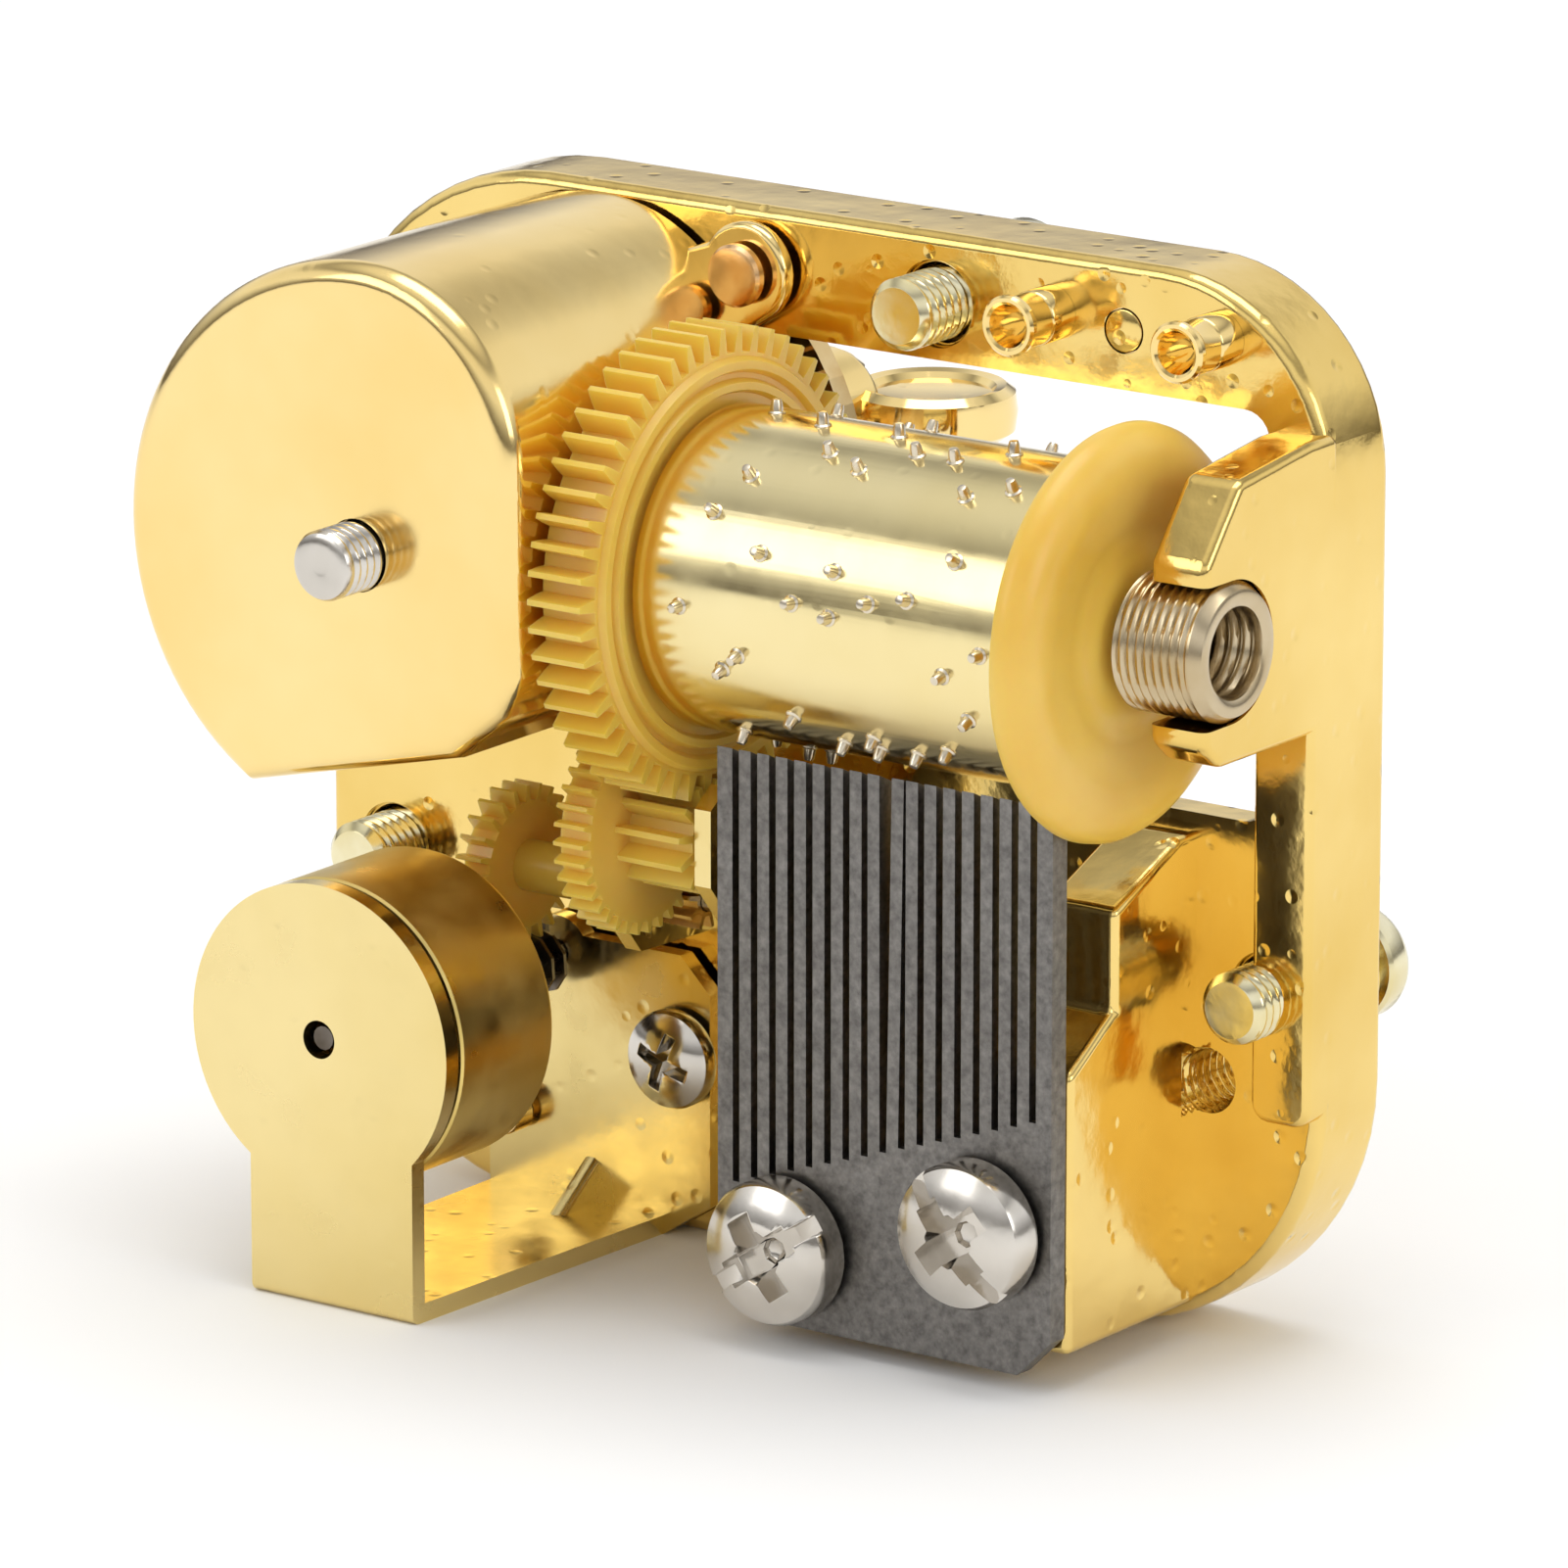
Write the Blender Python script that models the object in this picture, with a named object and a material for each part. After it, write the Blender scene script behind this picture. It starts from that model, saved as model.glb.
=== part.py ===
"""Eighteen-note wind-up music movement: bedplate, housing, pinned cylinder, comb, train, governor, key.

Metres, +Z up. X runs along the cylinder and -Y is the side that carries the works. The movement stands on
the bedplate's lower edge, and the origin is the middle of that edge, at the bedplate's mid-depth.
"""

import bmesh
import bpy
from math import asin, atan2, cos, degrees, hypot, pi, radians, sin, sqrt
from mathutils import Matrix, Vector

MM = 0.001

# Driving dimensions, in millimetres.
PLATE_WIDTH = 50.0
PLATE_HEIGHT = 44.0
RIM_DEPTH = 4.5
SKIN = 1.5
RIM_WALL = 1.4
CORNER_TOP_RIGHT = 8.0
CORNER_BOTTOM = 11.0
CORNER_TOP_LEFT = 11.5
TOP_RAIL = 5.2
SIDE_RAIL = 2.8
SIDE_RAIL_LIFT = 1.0
SEAT_GAP = 0.3
RUNNING = 0.05
PRESS_GAP = 0.05

ARBOR_X = -10.24
ARBOR_DROP = 12.25
ARBOR_RADIUS = 1.9
ARBOR_PIVOT_RADIUS = 1.45
HOUSING_RADIUS = 11.9
HOUSING_WALL = 0.6
HOUSING_REACH = 17.0
HOUSING_FLAT = 7.8

CYLINDER_REACH = 6.76
CYLINDER_DROP = 13.1
SLEEVE_RADIUS = 6.6
SLEEVE_WALL = 0.5
PIN_HEIGHT = 0.6
PIN_RADIUS = 0.22
GEAR_MODULE = 0.35
CYLINDER_TEETH = 52
GEAR_WIDTH = 2.6
CAP_RADIUS = 8.4
CAP_LEFT = 19.1
CAP_THICKNESS = 1.7
ARBOR_ROD_RADIUS = 0.9
BUSH_RADIUS = 2.85
BUSH_BORE = 1.8
BUSH_PROUD = 0.3
FORK_THICKNESS = 2.7
FORK_REACH = 8.6

TINES = 18
COMB_WIDTH = 16.3
COMB_THICKNESS = 1.0
COMB_FRONT = 10.2
COMB_BOTTOM = 0.8
COMB_CLEARANCE = 0.12
SLOT_WIDTH = 0.26

SECOND_REACH = 7.6
SECOND_PINION_TEETH = 12
SECOND_TEETH = 36
THIRD_PINION_TEETH = 9
THIRD_REACH = 3.9
THIRD_DROP = 3.93
WORM_WHEEL_TEETH = 24
WORM_MODULE = 0.2667
WORM_PITCH_RADIUS = 1.3

GOVERNOR_X = -12.24
GOVERNOR_REACH = 17.2
CAN_RADIUS = 6.5
CAN_DEPTH = 6.1
SHEET = 0.8

M3_RADIUS = 1.5
SCREW_LENGTH = 8.2
SCREW_HEAD_RADIUS = 2.4
SCREW_HEAD_HEIGHT = 2.0

# Places that follow from the driving dimensions.
LEFT = -PLATE_WIDTH / 2
RIGHT = PLATE_WIDTH / 2
FRONT = -RIM_DEPTH / 2
BACK = RIM_DEPTH / 2
CORNERS = (CORNER_BOTTOM, CORNER_BOTTOM, CORNER_TOP_RIGHT, CORNER_TOP_LEFT)
ARBOR_Z = PLATE_HEIGHT - ARBOR_DROP
CYLINDER_Z = PLATE_HEIGHT - CYLINDER_DROP


def ahead(distance):
    """Y of a plane this far in front of the bedplate's front face."""
    return FRONT - distance


CYLINDER_Y = ahead(CYLINDER_REACH)
GEAR_RADIUS = GEAR_MODULE * CYLINDER_TEETH / 2
GEAR_LEFT = ARBOR_X + HOUSING_FLAT + SEAT_GAP
GEAR_RIGHT = GEAR_LEFT + GEAR_WIDTH
GEAR_MIDDLE = (GEAR_LEFT + GEAR_RIGHT) / 2
WINDOW_LEFT = GEAR_LEFT - 0.6
WINDOW_RIGHT = RIGHT - SIDE_RAIL
WINDOW_TOP = PLATE_HEIGHT - TOP_RAIL
WINDOW_BOTTOM = CYLINDER_Z - 8.9
FORK_RIGHT = RIGHT
FORK_LEFT = RIGHT - FORK_THICKNESS
BUSH_LEFT = CAP_LEFT + CAP_THICKNESS + SEAT_GAP
BUSH_RIGHT = FORK_RIGHT + BUSH_PROUD
COMB_RIGHT = CAP_LEFT - 0.15
COMB_LEFT = COMB_RIGHT - COMB_WIDTH
PIN_TIP = SLEEVE_RADIUS + PIN_HEIGHT
COMB_BACK = COMB_FRONT - COMB_THICKNESS
TINE_PITCH = COMB_WIDTH / TINES

PINION_RADIUS = GEAR_MODULE * SECOND_PINION_TEETH / 2
SECOND_Y = ahead(SECOND_REACH)
SECOND_Z = CYLINDER_Z - sqrt((GEAR_RADIUS + PINION_RADIUS) ** 2 - (SECOND_REACH - CYLINDER_REACH) ** 2)
THIRD_Y = ahead(THIRD_REACH)
THIRD_Z = SECOND_Z - THIRD_DROP
SECOND_MODULE = 2 * hypot(SECOND_REACH - THIRD_REACH, THIRD_DROP) / (SECOND_TEETH + THIRD_PINION_TEETH)
WORM_WHEEL_RADIUS = WORM_MODULE * WORM_WHEEL_TEETH / 2
GOVERNOR_Z = THIRD_Z - WORM_WHEEL_RADIUS - WORM_PITCH_RADIUS
WORM_LEAD = pi * WORM_MODULE
GREAT_RADIUS = GEAR_MIDDLE - ARBOR_X
GREAT_TEETH = round(2 * GREAT_RADIUS / GEAR_MODULE)

EAR_RIGHT = GEAR_RIGHT + SEAT_GAP + 0.1
SECOND_WHEEL_RIGHT = GEAR_LEFT - 0.5
SECOND_WHEEL_WIDTH = 1.5
SECOND_WHEEL_LEFT = SECOND_WHEEL_RIGHT - SECOND_WHEEL_WIDTH
EAR_MIDDLE = SECOND_WHEEL_LEFT - 0.5 - SHEET

GOLD = ("gold plate", (0.83, 0.62, 0.24), 1.0, 0.18)
BRASS = ("brass", (0.78, 0.66, 0.42), 1.0, 0.28)
STEEL = ("comb steel", (0.27, 0.26, 0.26), 0.9, 0.42)
NICKEL = ("nickel plate", (0.72, 0.70, 0.67), 1.0, 0.2)
DARK_STEEL = ("dark steel", (0.18, 0.16, 0.14), 1.0, 0.35)
PLASTIC = ("yellow acetal", (0.86, 0.66, 0.18), 0.0, 0.38)
COPPER = ("copper flash", (0.82, 0.50, 0.24), 1.0, 0.3)

for stale in list(bpy.data.objects):
    bpy.data.objects.remove(stale)


def material(finish):
    """A Principled material, made once for each finish."""
    name, colour, metallic, roughness = finish
    made = bpy.data.materials.new(name)
    made.use_nodes = True
    shader = made.node_tree.nodes["Principled BSDF"]
    shader.inputs["Base Color"].default_value = (*colour, 1.0)
    shader.inputs["Metallic"].default_value = metallic
    shader.inputs["Roughness"].default_value = roughness
    return made


def add(name, shape, finish, origin=(0, 0, 0)):
    """Turn a bmesh drawn in millimetres about its own origin into a named object."""
    bmesh.ops.remove_doubles(shape, verts=shape.verts, dist=1e-4)
    bmesh.ops.recalc_face_normals(shape, faces=shape.faces)
    bmesh.ops.scale(shape, vec=(MM, MM, MM), verts=shape.verts)
    mesh = bpy.data.meshes.new(name)
    shape.to_mesh(mesh)
    shape.free()
    mesh.shade_smooth()
    mesh.set_sharp_from_angle(angle=radians(35))
    thing = bpy.data.objects.new(name, mesh)
    thing.location = Vector(origin) * MM
    bpy.context.collection.objects.link(thing)
    thing.data.materials.append(material(finish))
    return thing


def helper(name, shape, origin=(0, 0, 0)):
    """A cutter or filler: hidden from the render and drawn as wire."""
    tool = add(name, shape, GOLD, origin)
    tool.hide_render = True
    tool.display_type = "WIRE"
    return tool


MANIFOLD_TARGETS = ("bedplate", "cylinder_sleeve")


def combine(target, tool, operation):
    """Bosses on a rim and many small pins defeat the exact solver, so those two take the manifold one."""
    step = target.modifiers.new(tool.name, "BOOLEAN")
    step.operation = operation
    step.object = tool
    step.solver = "MANIFOLD" if target.name in MANIFOLD_TARGETS else "EXACT"
    return target


def cut(target, name, shape, origin=(0, 0, 0)):
    return combine(target, helper(name, shape, origin), "DIFFERENCE")


def fuse(target, name, shape, origin=(0, 0, 0)):
    return combine(target, helper(name, shape, origin), "UNION")


AXIS_TURN = {
    "X": Matrix(((0, 0, 1), (1, 0, 0), (0, 1, 0))),
    "Y": Matrix(((1, 0, 0), (0, 0, 1), (0, 1, 0))),
    "Z": Matrix.Identity(3),
}


def prism(outline, start, end, axis="Y"):
    """A flat outline extruded along an axis: its points are (X, Z) for Y, (Y, Z) for X and (X, Y) for Z."""
    shape = bmesh.new()
    turn = AXIS_TURN[axis]
    face = shape.faces.new([shape.verts.new(turn @ Vector((u, v, start))) for u, v in outline])
    made = bmesh.ops.extrude_face_region(shape, geom=[face])
    moved = [item for item in made["geom"] if isinstance(item, bmesh.types.BMVert)]
    bmesh.ops.translate(shape, verts=moved, vec=turn @ Vector((0, 0, end - start)))
    return shape


def block(x, y, z):
    """A box between the pairs x, y and z."""
    return prism([(x[0], z[0]), (x[1], z[0]), (x[1], z[1]), (x[0], z[1])], y[0], y[1])


def turned(profile, axis="Y", segments=24):
    """A profile of (radius, distance along the axis) points spun into a closed solid."""
    shape = bmesh.new()
    turn = AXIS_TURN[axis]
    rail = [shape.verts.new(turn @ Vector((radius, 0, along))) for radius, along in profile]
    edges = [shape.edges.new(pair) for pair in zip(rail, rail[1:])]
    if profile[0][0] > 0 or profile[-1][0] > 0:
        edges.append(shape.edges.new((rail[-1], rail[0])))
    bmesh.ops.spin(
        shape, geom=rail + edges, cent=(0, 0, 0), axis=turn @ Vector((0, 0, 1)),
        angle=2 * pi, steps=segments, use_merge=True,
    )
    bmesh.ops.remove_doubles(shape, verts=shape.verts, dist=1e-4)
    bmesh.ops.dissolve_degenerate(shape, edges=shape.edges, dist=1e-5)
    return shape


def rod(radius, start, end, axis="Y", segments=24, chamfer=0.0):
    """A plain round bar with optional chamfers."""
    if not chamfer:
        return turned([(0, start), (radius, start), (radius, end), (0, end)], axis, segments)
    inner = radius - chamfer
    return turned([
        (0, start), (inner, start), (radius, start + chamfer),
        (radius, end - chamfer), (inner, end), (0, end),
    ], axis, segments)


def arc(centre, radius, start, end, steps):
    """Points on an arc, with its angles in degrees."""
    angles = [radians(start + (end - start) * step / steps) for step in range(steps + 1)]
    return [(centre[0] + radius * cos(angle), centre[1] + radius * sin(angle)) for angle in angles]


def rounded(x, z, radii, steps=5):
    """A rectangle whose corners, from lower left round to upper left, have these radii."""
    corners = (
        (x[0], z[0], 1, 1, 180), (x[1], z[0], -1, 1, 270),
        (x[1], z[1], -1, -1, 0), (x[0], z[1], 1, -1, 90),
    )
    points = []
    for (u, v, du, dv, start), radius in zip(corners, radii):
        points += arc((u + du * radius, v + dv * radius), radius, start, start + 90, steps)
    return points


def gear_outline(teeth, root, tip, root_share, tip_share, phase=0.0):
    """Trapezoid teeth round a circle. The shares are of one tooth pitch, and the phase is in pitches."""
    points = []
    pitch = 2 * pi / teeth
    walk = ((-root_share, root), (-tip_share, tip), (tip_share, tip), (root_share, root))
    for tooth in range(teeth):
        for share, radius in walk:
            angle = (tooth + phase + share / 2) * pitch
            points.append((radius * cos(angle), radius * sin(angle)))
    return points


def mesh_phase(teeth, other_teeth, towards):
    """The phase that puts a gear's gap where its neighbour, which lies towards (Y, Z), has a tooth."""
    direction = atan2(towards[1], towards[0])
    own_pitches = direction / (2 * pi) * teeth
    other_pitches = (direction + pi) / (2 * pi) * other_teeth
    return own_pitches + 0.5 + other_pitches


def at(place):
    """The origin of a piece that stands on the bedplate at this (X, Z) place."""
    return (place[0], 0, place[1])


# Bedplate: one die-cast shell, open at the back, with its window, fork, comb pillar and screw bosses.
outer = rounded((LEFT, RIGHT), (0, PLATE_HEIGHT), CORNERS)
bedplate = add("bedplate", prism(outer, FRONT, BACK), GOLD)
inner = rounded(
    (LEFT + RIM_WALL, RIGHT - RIM_WALL),
    (RIM_WALL, PLATE_HEIGHT - RIM_WALL),
    [radius - RIM_WALL for radius in CORNERS],
)
cut(bedplate, "bedplate_hollow", prism(inner, FRONT + SKIN, BACK + 1))

SCREW_PLACES = {"top": (6.1, PLATE_HEIGHT - 2.9), "right": (RIGHT - 2.6, 15.0), "left": (-21.6, 14.2)}
BOSS_RADIUS = 2.5
for side, place in SCREW_PLACES.items():
    fuse(bedplate, f"boss_{side}", rod(BOSS_RADIUS, FRONT - 0.4, BACK - 0.05, segments=18), at(place))

PILLAR_TOP = CYLINDER_Z - 9.7
PILLAR_STEP = 5.8
PILLAR_SHELF = 13.1
PILLAR_SLOPE_TOP = 15.1
PILLAR_BOTTOM = 1.5
PILLAR_WIDTH = 3.4
HEEL_TOP = 8.5
pillar_side = [
    (FRONT + SKIN / 2, PILLAR_BOTTOM),
    (ahead(COMB_BACK - SEAT_GAP), PILLAR_BOTTOM),
    (ahead(COMB_BACK - SEAT_GAP), PILLAR_SHELF),
    (ahead(PILLAR_STEP), PILLAR_SLOPE_TOP),
    (ahead(PILLAR_STEP), PILLAR_TOP - 2),
    (ahead(1.1), PILLAR_TOP),
    (FRONT + SKIN / 2, PILLAR_TOP),
]
fuse(bedplate, "pillar", prism(pillar_side, COMB_RIGHT - PILLAR_WIDTH, COMB_RIGHT, "X"))
heel = [
    (FRONT + SKIN / 2, PILLAR_BOTTOM),
    (ahead(COMB_BACK - SEAT_GAP), PILLAR_BOTTOM),
    (ahead(COMB_BACK - SEAT_GAP), HEEL_TOP),
    (FRONT + SKIN / 2, HEEL_TOP),
]
fuse(bedplate, "comb_heel_rest", prism(heel, COMB_LEFT + 0.4, COMB_RIGHT - PILLAR_WIDTH / 2, "X"))

FORK_TOP = CYLINDER_Z + 7.3
FORK_BOTTOM = CYLINDER_Z - 4.6
fork_side = [
    (FRONT + SKIN / 2, FORK_BOTTOM),
    (ahead(FORK_REACH - 1.2), FORK_BOTTOM),
    (ahead(FORK_REACH), FORK_BOTTOM + 1.0),
    (ahead(FORK_REACH), FORK_TOP - 3.6),
    (ahead(FORK_REACH - 2.4), FORK_TOP - 0.6),
    (ahead(1.2), FORK_TOP),
    (FRONT + SKIN / 2, FORK_TOP),
]
fuse(bedplate, "fork", prism(fork_side, FORK_LEFT, FORK_RIGHT, "X"))
RAIL_EDGE = 0.8
side_rail = rounded((WINDOW_RIGHT, RIGHT), (10.0, PLATE_HEIGHT - CORNER_TOP_RIGHT), [RAIL_EDGE] * 4, 3)
fuse(bedplate, "side_rail", prism(side_rail, ahead(SIDE_RAIL_LIFT), FRONT + SKIN / 2))
cut(bedplate, "fork_slot", block(
    (FORK_LEFT - 1, FORK_RIGHT + 1),
    (CYLINDER_Y - FORK_REACH, CYLINDER_Y),
    (CYLINDER_Z - BUSH_RADIUS - RUNNING, CYLINDER_Z + BUSH_RADIUS + RUNNING),
))
cylinder_axis = (0, CYLINDER_Y, CYLINDER_Z)
cut(bedplate, "fork_seat", rod(BUSH_RADIUS + RUNNING, FORK_LEFT - 1, FORK_RIGHT + 1, "X"), cylinder_axis)
window = rounded((WINDOW_LEFT, WINDOW_RIGHT), (WINDOW_BOTTOM, WINDOW_TOP), (2.0, 1.0, 1.2, 1.2), 3)
cut(bedplate, "window", prism(window, FRONT - 0.2, BACK + 1))
for side, place in SCREW_PLACES.items():
    cut(bedplate, f"tapped_{side}", rod(M3_RADIUS + RUNNING, FRONT - 3, BACK + 1, segments=18), at(place))

THREADED_HOLE = (19.5, 10.9)
THREADED_HOLE_RADIUS = 1.45
threaded_boss = rod(BOSS_RADIUS, FRONT + 0.2, BACK - 0.05, segments=18)
fuse(bedplate, "threaded_hole_boss", threaded_boss, at(THREADED_HOLE))
threaded_bore = rod(THREADED_HOLE_RADIUS, FRONT - 3, BACK + 1, segments=18)
cut(bedplate, "threaded_hole", threaded_bore, at(THREADED_HOLE))

arbor_axis = (ARBOR_X, 0, ARBOR_Z)
cut(bedplate, "arbor_bore", rod(ARBOR_RADIUS + RUNNING, FRONT - 1, FRONT + SKIN + 1), arbor_axis)


def plate_hole(name, place, radius):
    """A round hole through the bedplate's skin."""
    cut(bedplate, name, rod(radius, FRONT - 1, FRONT + SKIN + 1, segments=14), at(place))


POST_PLACES = {"left": (11.75, PLATE_HEIGHT - 2.5), "right": (19.8, PLATE_HEIGHT - 2.5)}
POST_SHANK = 0.9
PLUG_PLACE = (15.2, PLATE_HEIGHT - 2.8)
PLUG_RADIUS = 0.88
RIVET_PLACES = {"upper": (ARBOR_X + 7.54, ARBOR_Z + 9.65), "lower": (ARBOR_X - 11.76, ARBOR_Z - 8.15)}
RIVET_SHANK = 0.8
for side, place in POST_PLACES.items():
    plate_hole(f"post_hole_{side}", place, POST_SHANK + PRESS_GAP)
plate_hole("plug_hole", PLUG_PLACE, PLUG_RADIUS + PRESS_GAP)
for side, place in RIVET_PLACES.items():
    plate_hole(f"rivet_hole_{side}", place, RIVET_SHANK + PRESS_GAP)

COMB_SCREWS = {"left": (6.2, 4.2), "right": (15.6, 6.6)}
COMB_SHANK = 1.3
for side, place in COMB_SCREWS.items():
    tapping = rod(COMB_SHANK + RUNNING, ahead(COMB_FRONT), ahead(COMB_FRONT - 7), segments=14)
    cut(bedplate, f"comb_tapping_{side}", tapping, at(place))

# Mounting screws: threaded in from behind, with their heads standing off the open back.
HEAD_BEARING = BACK + 0.9
tip = HEAD_BEARING - SCREW_LENGTH
for side, place in SCREW_PLACES.items():
    screw_profile = [
        (0, tip), (M3_RADIUS - 0.35, tip), (M3_RADIUS, tip + 0.35), (M3_RADIUS, HEAD_BEARING),
        (SCREW_HEAD_RADIUS, HEAD_BEARING), (SCREW_HEAD_RADIUS, HEAD_BEARING + 1.2),
        (SCREW_HEAD_RADIUS - 0.8, HEAD_BEARING + SCREW_HEAD_HEIGHT), (0, HEAD_BEARING + SCREW_HEAD_HEIGHT),
    ]
    add(f"mounting_screw_{side}", turned(screw_profile, segments=18), GOLD, at(place))

# Top rail fittings: two hollow posts, a flush plug and the rivet through the housing's ear.
POST_REACH = 3.2
POST_RADIUS = 1.25
POST_WAIST = 1.05
POST_BORE = 0.75
for side, place in POST_PLACES.items():
    post_profile = [
        (POST_BORE, ahead(POST_REACH)), (POST_RADIUS, ahead(POST_REACH)),
        (POST_RADIUS, ahead(POST_REACH - 0.5)), (POST_WAIST, ahead(POST_REACH - 0.8)),
        (POST_WAIST, ahead(0.9)), (POST_RADIUS, ahead(0.6)), (POST_RADIUS, ahead(SEAT_GAP)),
        (POST_SHANK, ahead(SEAT_GAP)), (POST_SHANK, FRONT + SKIN), (POST_BORE, FRONT + SKIN),
    ]
    add(f"hollow_post_{side}", turned(post_profile, segments=18), GOLD, at(place))
add("rail_plug", rod(PLUG_RADIUS, FRONT - 0.03, FRONT + SKIN, segments=14), GOLD, at(PLUG_PLACE))


# Spring housing: a deep-drawn cup with one flat side, a slanted foot, a rolled flange and two ears.
def housing_outline(inset):
    """The cup's outline about its arbor, drawn in by the inset."""
    radius = HOUSING_RADIUS - inset
    flat = HOUSING_FLAT - inset
    start = degrees(asin((HOUSING_RADIUS * 0.62 - inset * 0.4) / radius))
    points = arc((0, HOUSING_RADIUS - HOUSING_FLAT), flat, 0, 90, 10)
    points += arc((0, 0), radius, 94, 180 + start + 22, 18)
    points += [
        (HOUSING_FLAT - 3.1 - inset * 0.2, -7.8 + inset),
        (HOUSING_FLAT - 0.8 - inset, -5.8 + inset * 0.6),
        (flat, -4.0 + inset * 0.3),
    ]
    return points


CUP_FRONT = ahead(HOUSING_REACH)
CUP_BACK = ahead(SEAT_GAP)
FLANGE = 0.8
EAR_RADIUS = 2.1
CUP_RIGHT = ARBOR_X + HOUSING_FLAT
EARS = {
    "upper": ((-60, 150), ((-6.0, -0.4), (-4.0, -5.0))),
    "lower": ((130, 330), ((5.0, 4.4), (2.5, 6.0))),
}
spring_housing = add("spring_housing", prism(housing_outline(0), CUP_FRONT, CUP_BACK), GOLD, arbor_axis)
for side, (sweep, roots) in EARS.items():
    x, z = RIVET_PLACES[side]
    ear = arc((x, z), EAR_RADIUS, *sweep, 10) + [(x + across, z + up) for across, up in roots]
    fuse(spring_housing, f"housing_ear_{side}", prism(ear, ahead(SEAT_GAP + FLANGE), CUP_BACK))
hollow = prism(housing_outline(HOUSING_WALL), CUP_FRONT + HOUSING_WALL, CUP_BACK + 1)
cut(spring_housing, "housing_hollow", hollow, arbor_axis)
arbor_hole = rod(ARBOR_PIVOT_RADIUS + RUNNING, CUP_FRONT - 1, CUP_FRONT + 2)
cut(spring_housing, "housing_arbor_hole", arbor_hole, arbor_axis)
pivot_hole = rod(ARBOR_ROD_RADIUS + RUNNING, CUP_RIGHT - 2, CUP_RIGHT + 1, "X", 14)
cut(spring_housing, "housing_cylinder_pivot", pivot_hole, cylinder_axis)
for side, place in RIVET_PLACES.items():
    ear_hole = rod(RIVET_SHANK + PRESS_GAP, ahead(2), FRONT, segments=14)
    cut(spring_housing, f"housing_ear_hole_{side}", ear_hole, at(place))
SPRING_WIDTH = 12.0
SPRING_MIDDLE = ahead(HOUSING_REACH / 2)
SPRING_THICKNESS = 0.3
TAIL_Z = -5.4
cut(spring_housing, "spring_slot", block(
    (-HOUSING_RADIUS - 1, -HOUSING_RADIUS + 4),
    (SPRING_MIDDLE - SPRING_WIDTH / 2 - 0.3, SPRING_MIDDLE + SPRING_WIDTH / 2 + 0.3),
    (TAIL_Z - 0.6, TAIL_Z + 0.6),
), arbor_axis)
RIVET_HEAD = 1.3
rivet_seat = ahead(FLANGE + SEAT_GAP * 2)
for side, place in RIVET_PLACES.items():
    rivet = [
        (0, rivet_seat - 0.5), (RIVET_HEAD - 0.2, rivet_seat - 0.5), (RIVET_HEAD, rivet_seat - 0.3),
        (RIVET_HEAD, rivet_seat), (RIVET_SHANK, rivet_seat), (RIVET_SHANK, FRONT + SKIN), (0, FRONT + SKIN),
    ]
    add(f"housing_rivet_{side}", turned(rivet, segments=18), COPPER, at(place))

# Mainspring: a flat steel strip coiled round the arbor, its outer end led out of the cup's slot.
SPRING_TURNS = 5
SPRING_INNER = ARBOR_RADIUS + 0.5
SPRING_OUTER = HOUSING_FLAT - 1.1
coil = []
coil_steps = SPRING_TURNS * 10
for step in range(coil_steps + 1):
    share = step / coil_steps
    turn_angle = 2 * pi * SPRING_TURNS * share + radians(215) - 2 * pi * SPRING_TURNS
    radius = SPRING_INNER + (SPRING_OUTER - SPRING_INNER) * share
    coil.append((radius * cos(turn_angle), radius * sin(turn_angle)))
coil.append((-HOUSING_RADIUS + 2.0, TAIL_Z))
coil.append((-HOUSING_RADIUS - 0.3, TAIL_Z))


def strip(points, thickness):
    """The outline of a strip of even thickness along a line of points."""
    near, far = [], []
    for index, point in enumerate(points):
        before = Vector(points[max(index - 1, 0)])
        after = Vector(points[min(index + 1, len(points) - 1)])
        along = (after - before).normalized()
        side = Vector((-along.y, along.x)) * thickness / 2
        near.append(tuple(Vector(point) + side))
        far.append(tuple(Vector(point) - side))
    return near + far[::-1]


add(
    "mainspring",
    prism(strip(coil, SPRING_THICKNESS), SPRING_MIDDLE - SPRING_WIDTH / 2, SPRING_MIDDLE + SPRING_WIDTH / 2),
    DARK_STEEL,
    arbor_axis,
)

# Comb: one hardened steel plate, its tines cut by straight slots of falling length, on two screws.
TIP_SWEEP = PIN_TIP + COMB_CLEARANCE
TINE_TIP_FRONT = CYLINDER_Z - sqrt(TIP_SWEEP ** 2 - (COMB_FRONT - CYLINDER_REACH) ** 2)
TINE_TIP_BACK = CYLINDER_Z - sqrt(TIP_SWEEP ** 2 - (COMB_BACK - CYLINDER_REACH) ** 2)
SLOT_END_LEFT = 6.4
SLOT_END_RIGHT = 11.4
comb_side = [
    (ahead(COMB_FRONT), COMB_BOTTOM), (ahead(COMB_BACK), COMB_BOTTOM),
    (ahead(COMB_BACK), TINE_TIP_BACK), (ahead(COMB_FRONT), TINE_TIP_FRONT),
]
comb = add("comb", prism(comb_side, COMB_LEFT, COMB_RIGHT, "X"), STEEL)
slots = bmesh.new()
for gap in range(1, TINES):
    middle = COMB_LEFT + gap * TINE_PITCH
    lower = SLOT_END_LEFT + (SLOT_END_RIGHT - SLOT_END_LEFT) * (gap - 1) / (TINES - 2)
    slot = block(
        (middle - SLOT_WIDTH / 2, middle + SLOT_WIDTH / 2),
        (ahead(COMB_FRONT + 1), ahead(COMB_BACK - 1)),
        (lower, CYLINDER_Z),
    )
    piece = bpy.data.meshes.new("slot")
    slot.to_mesh(piece)
    slot.free()
    slots.from_mesh(piece)
    bpy.data.meshes.remove(piece)
cut(comb, "comb_slots", slots)
CHAMFER = 1.6
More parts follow.
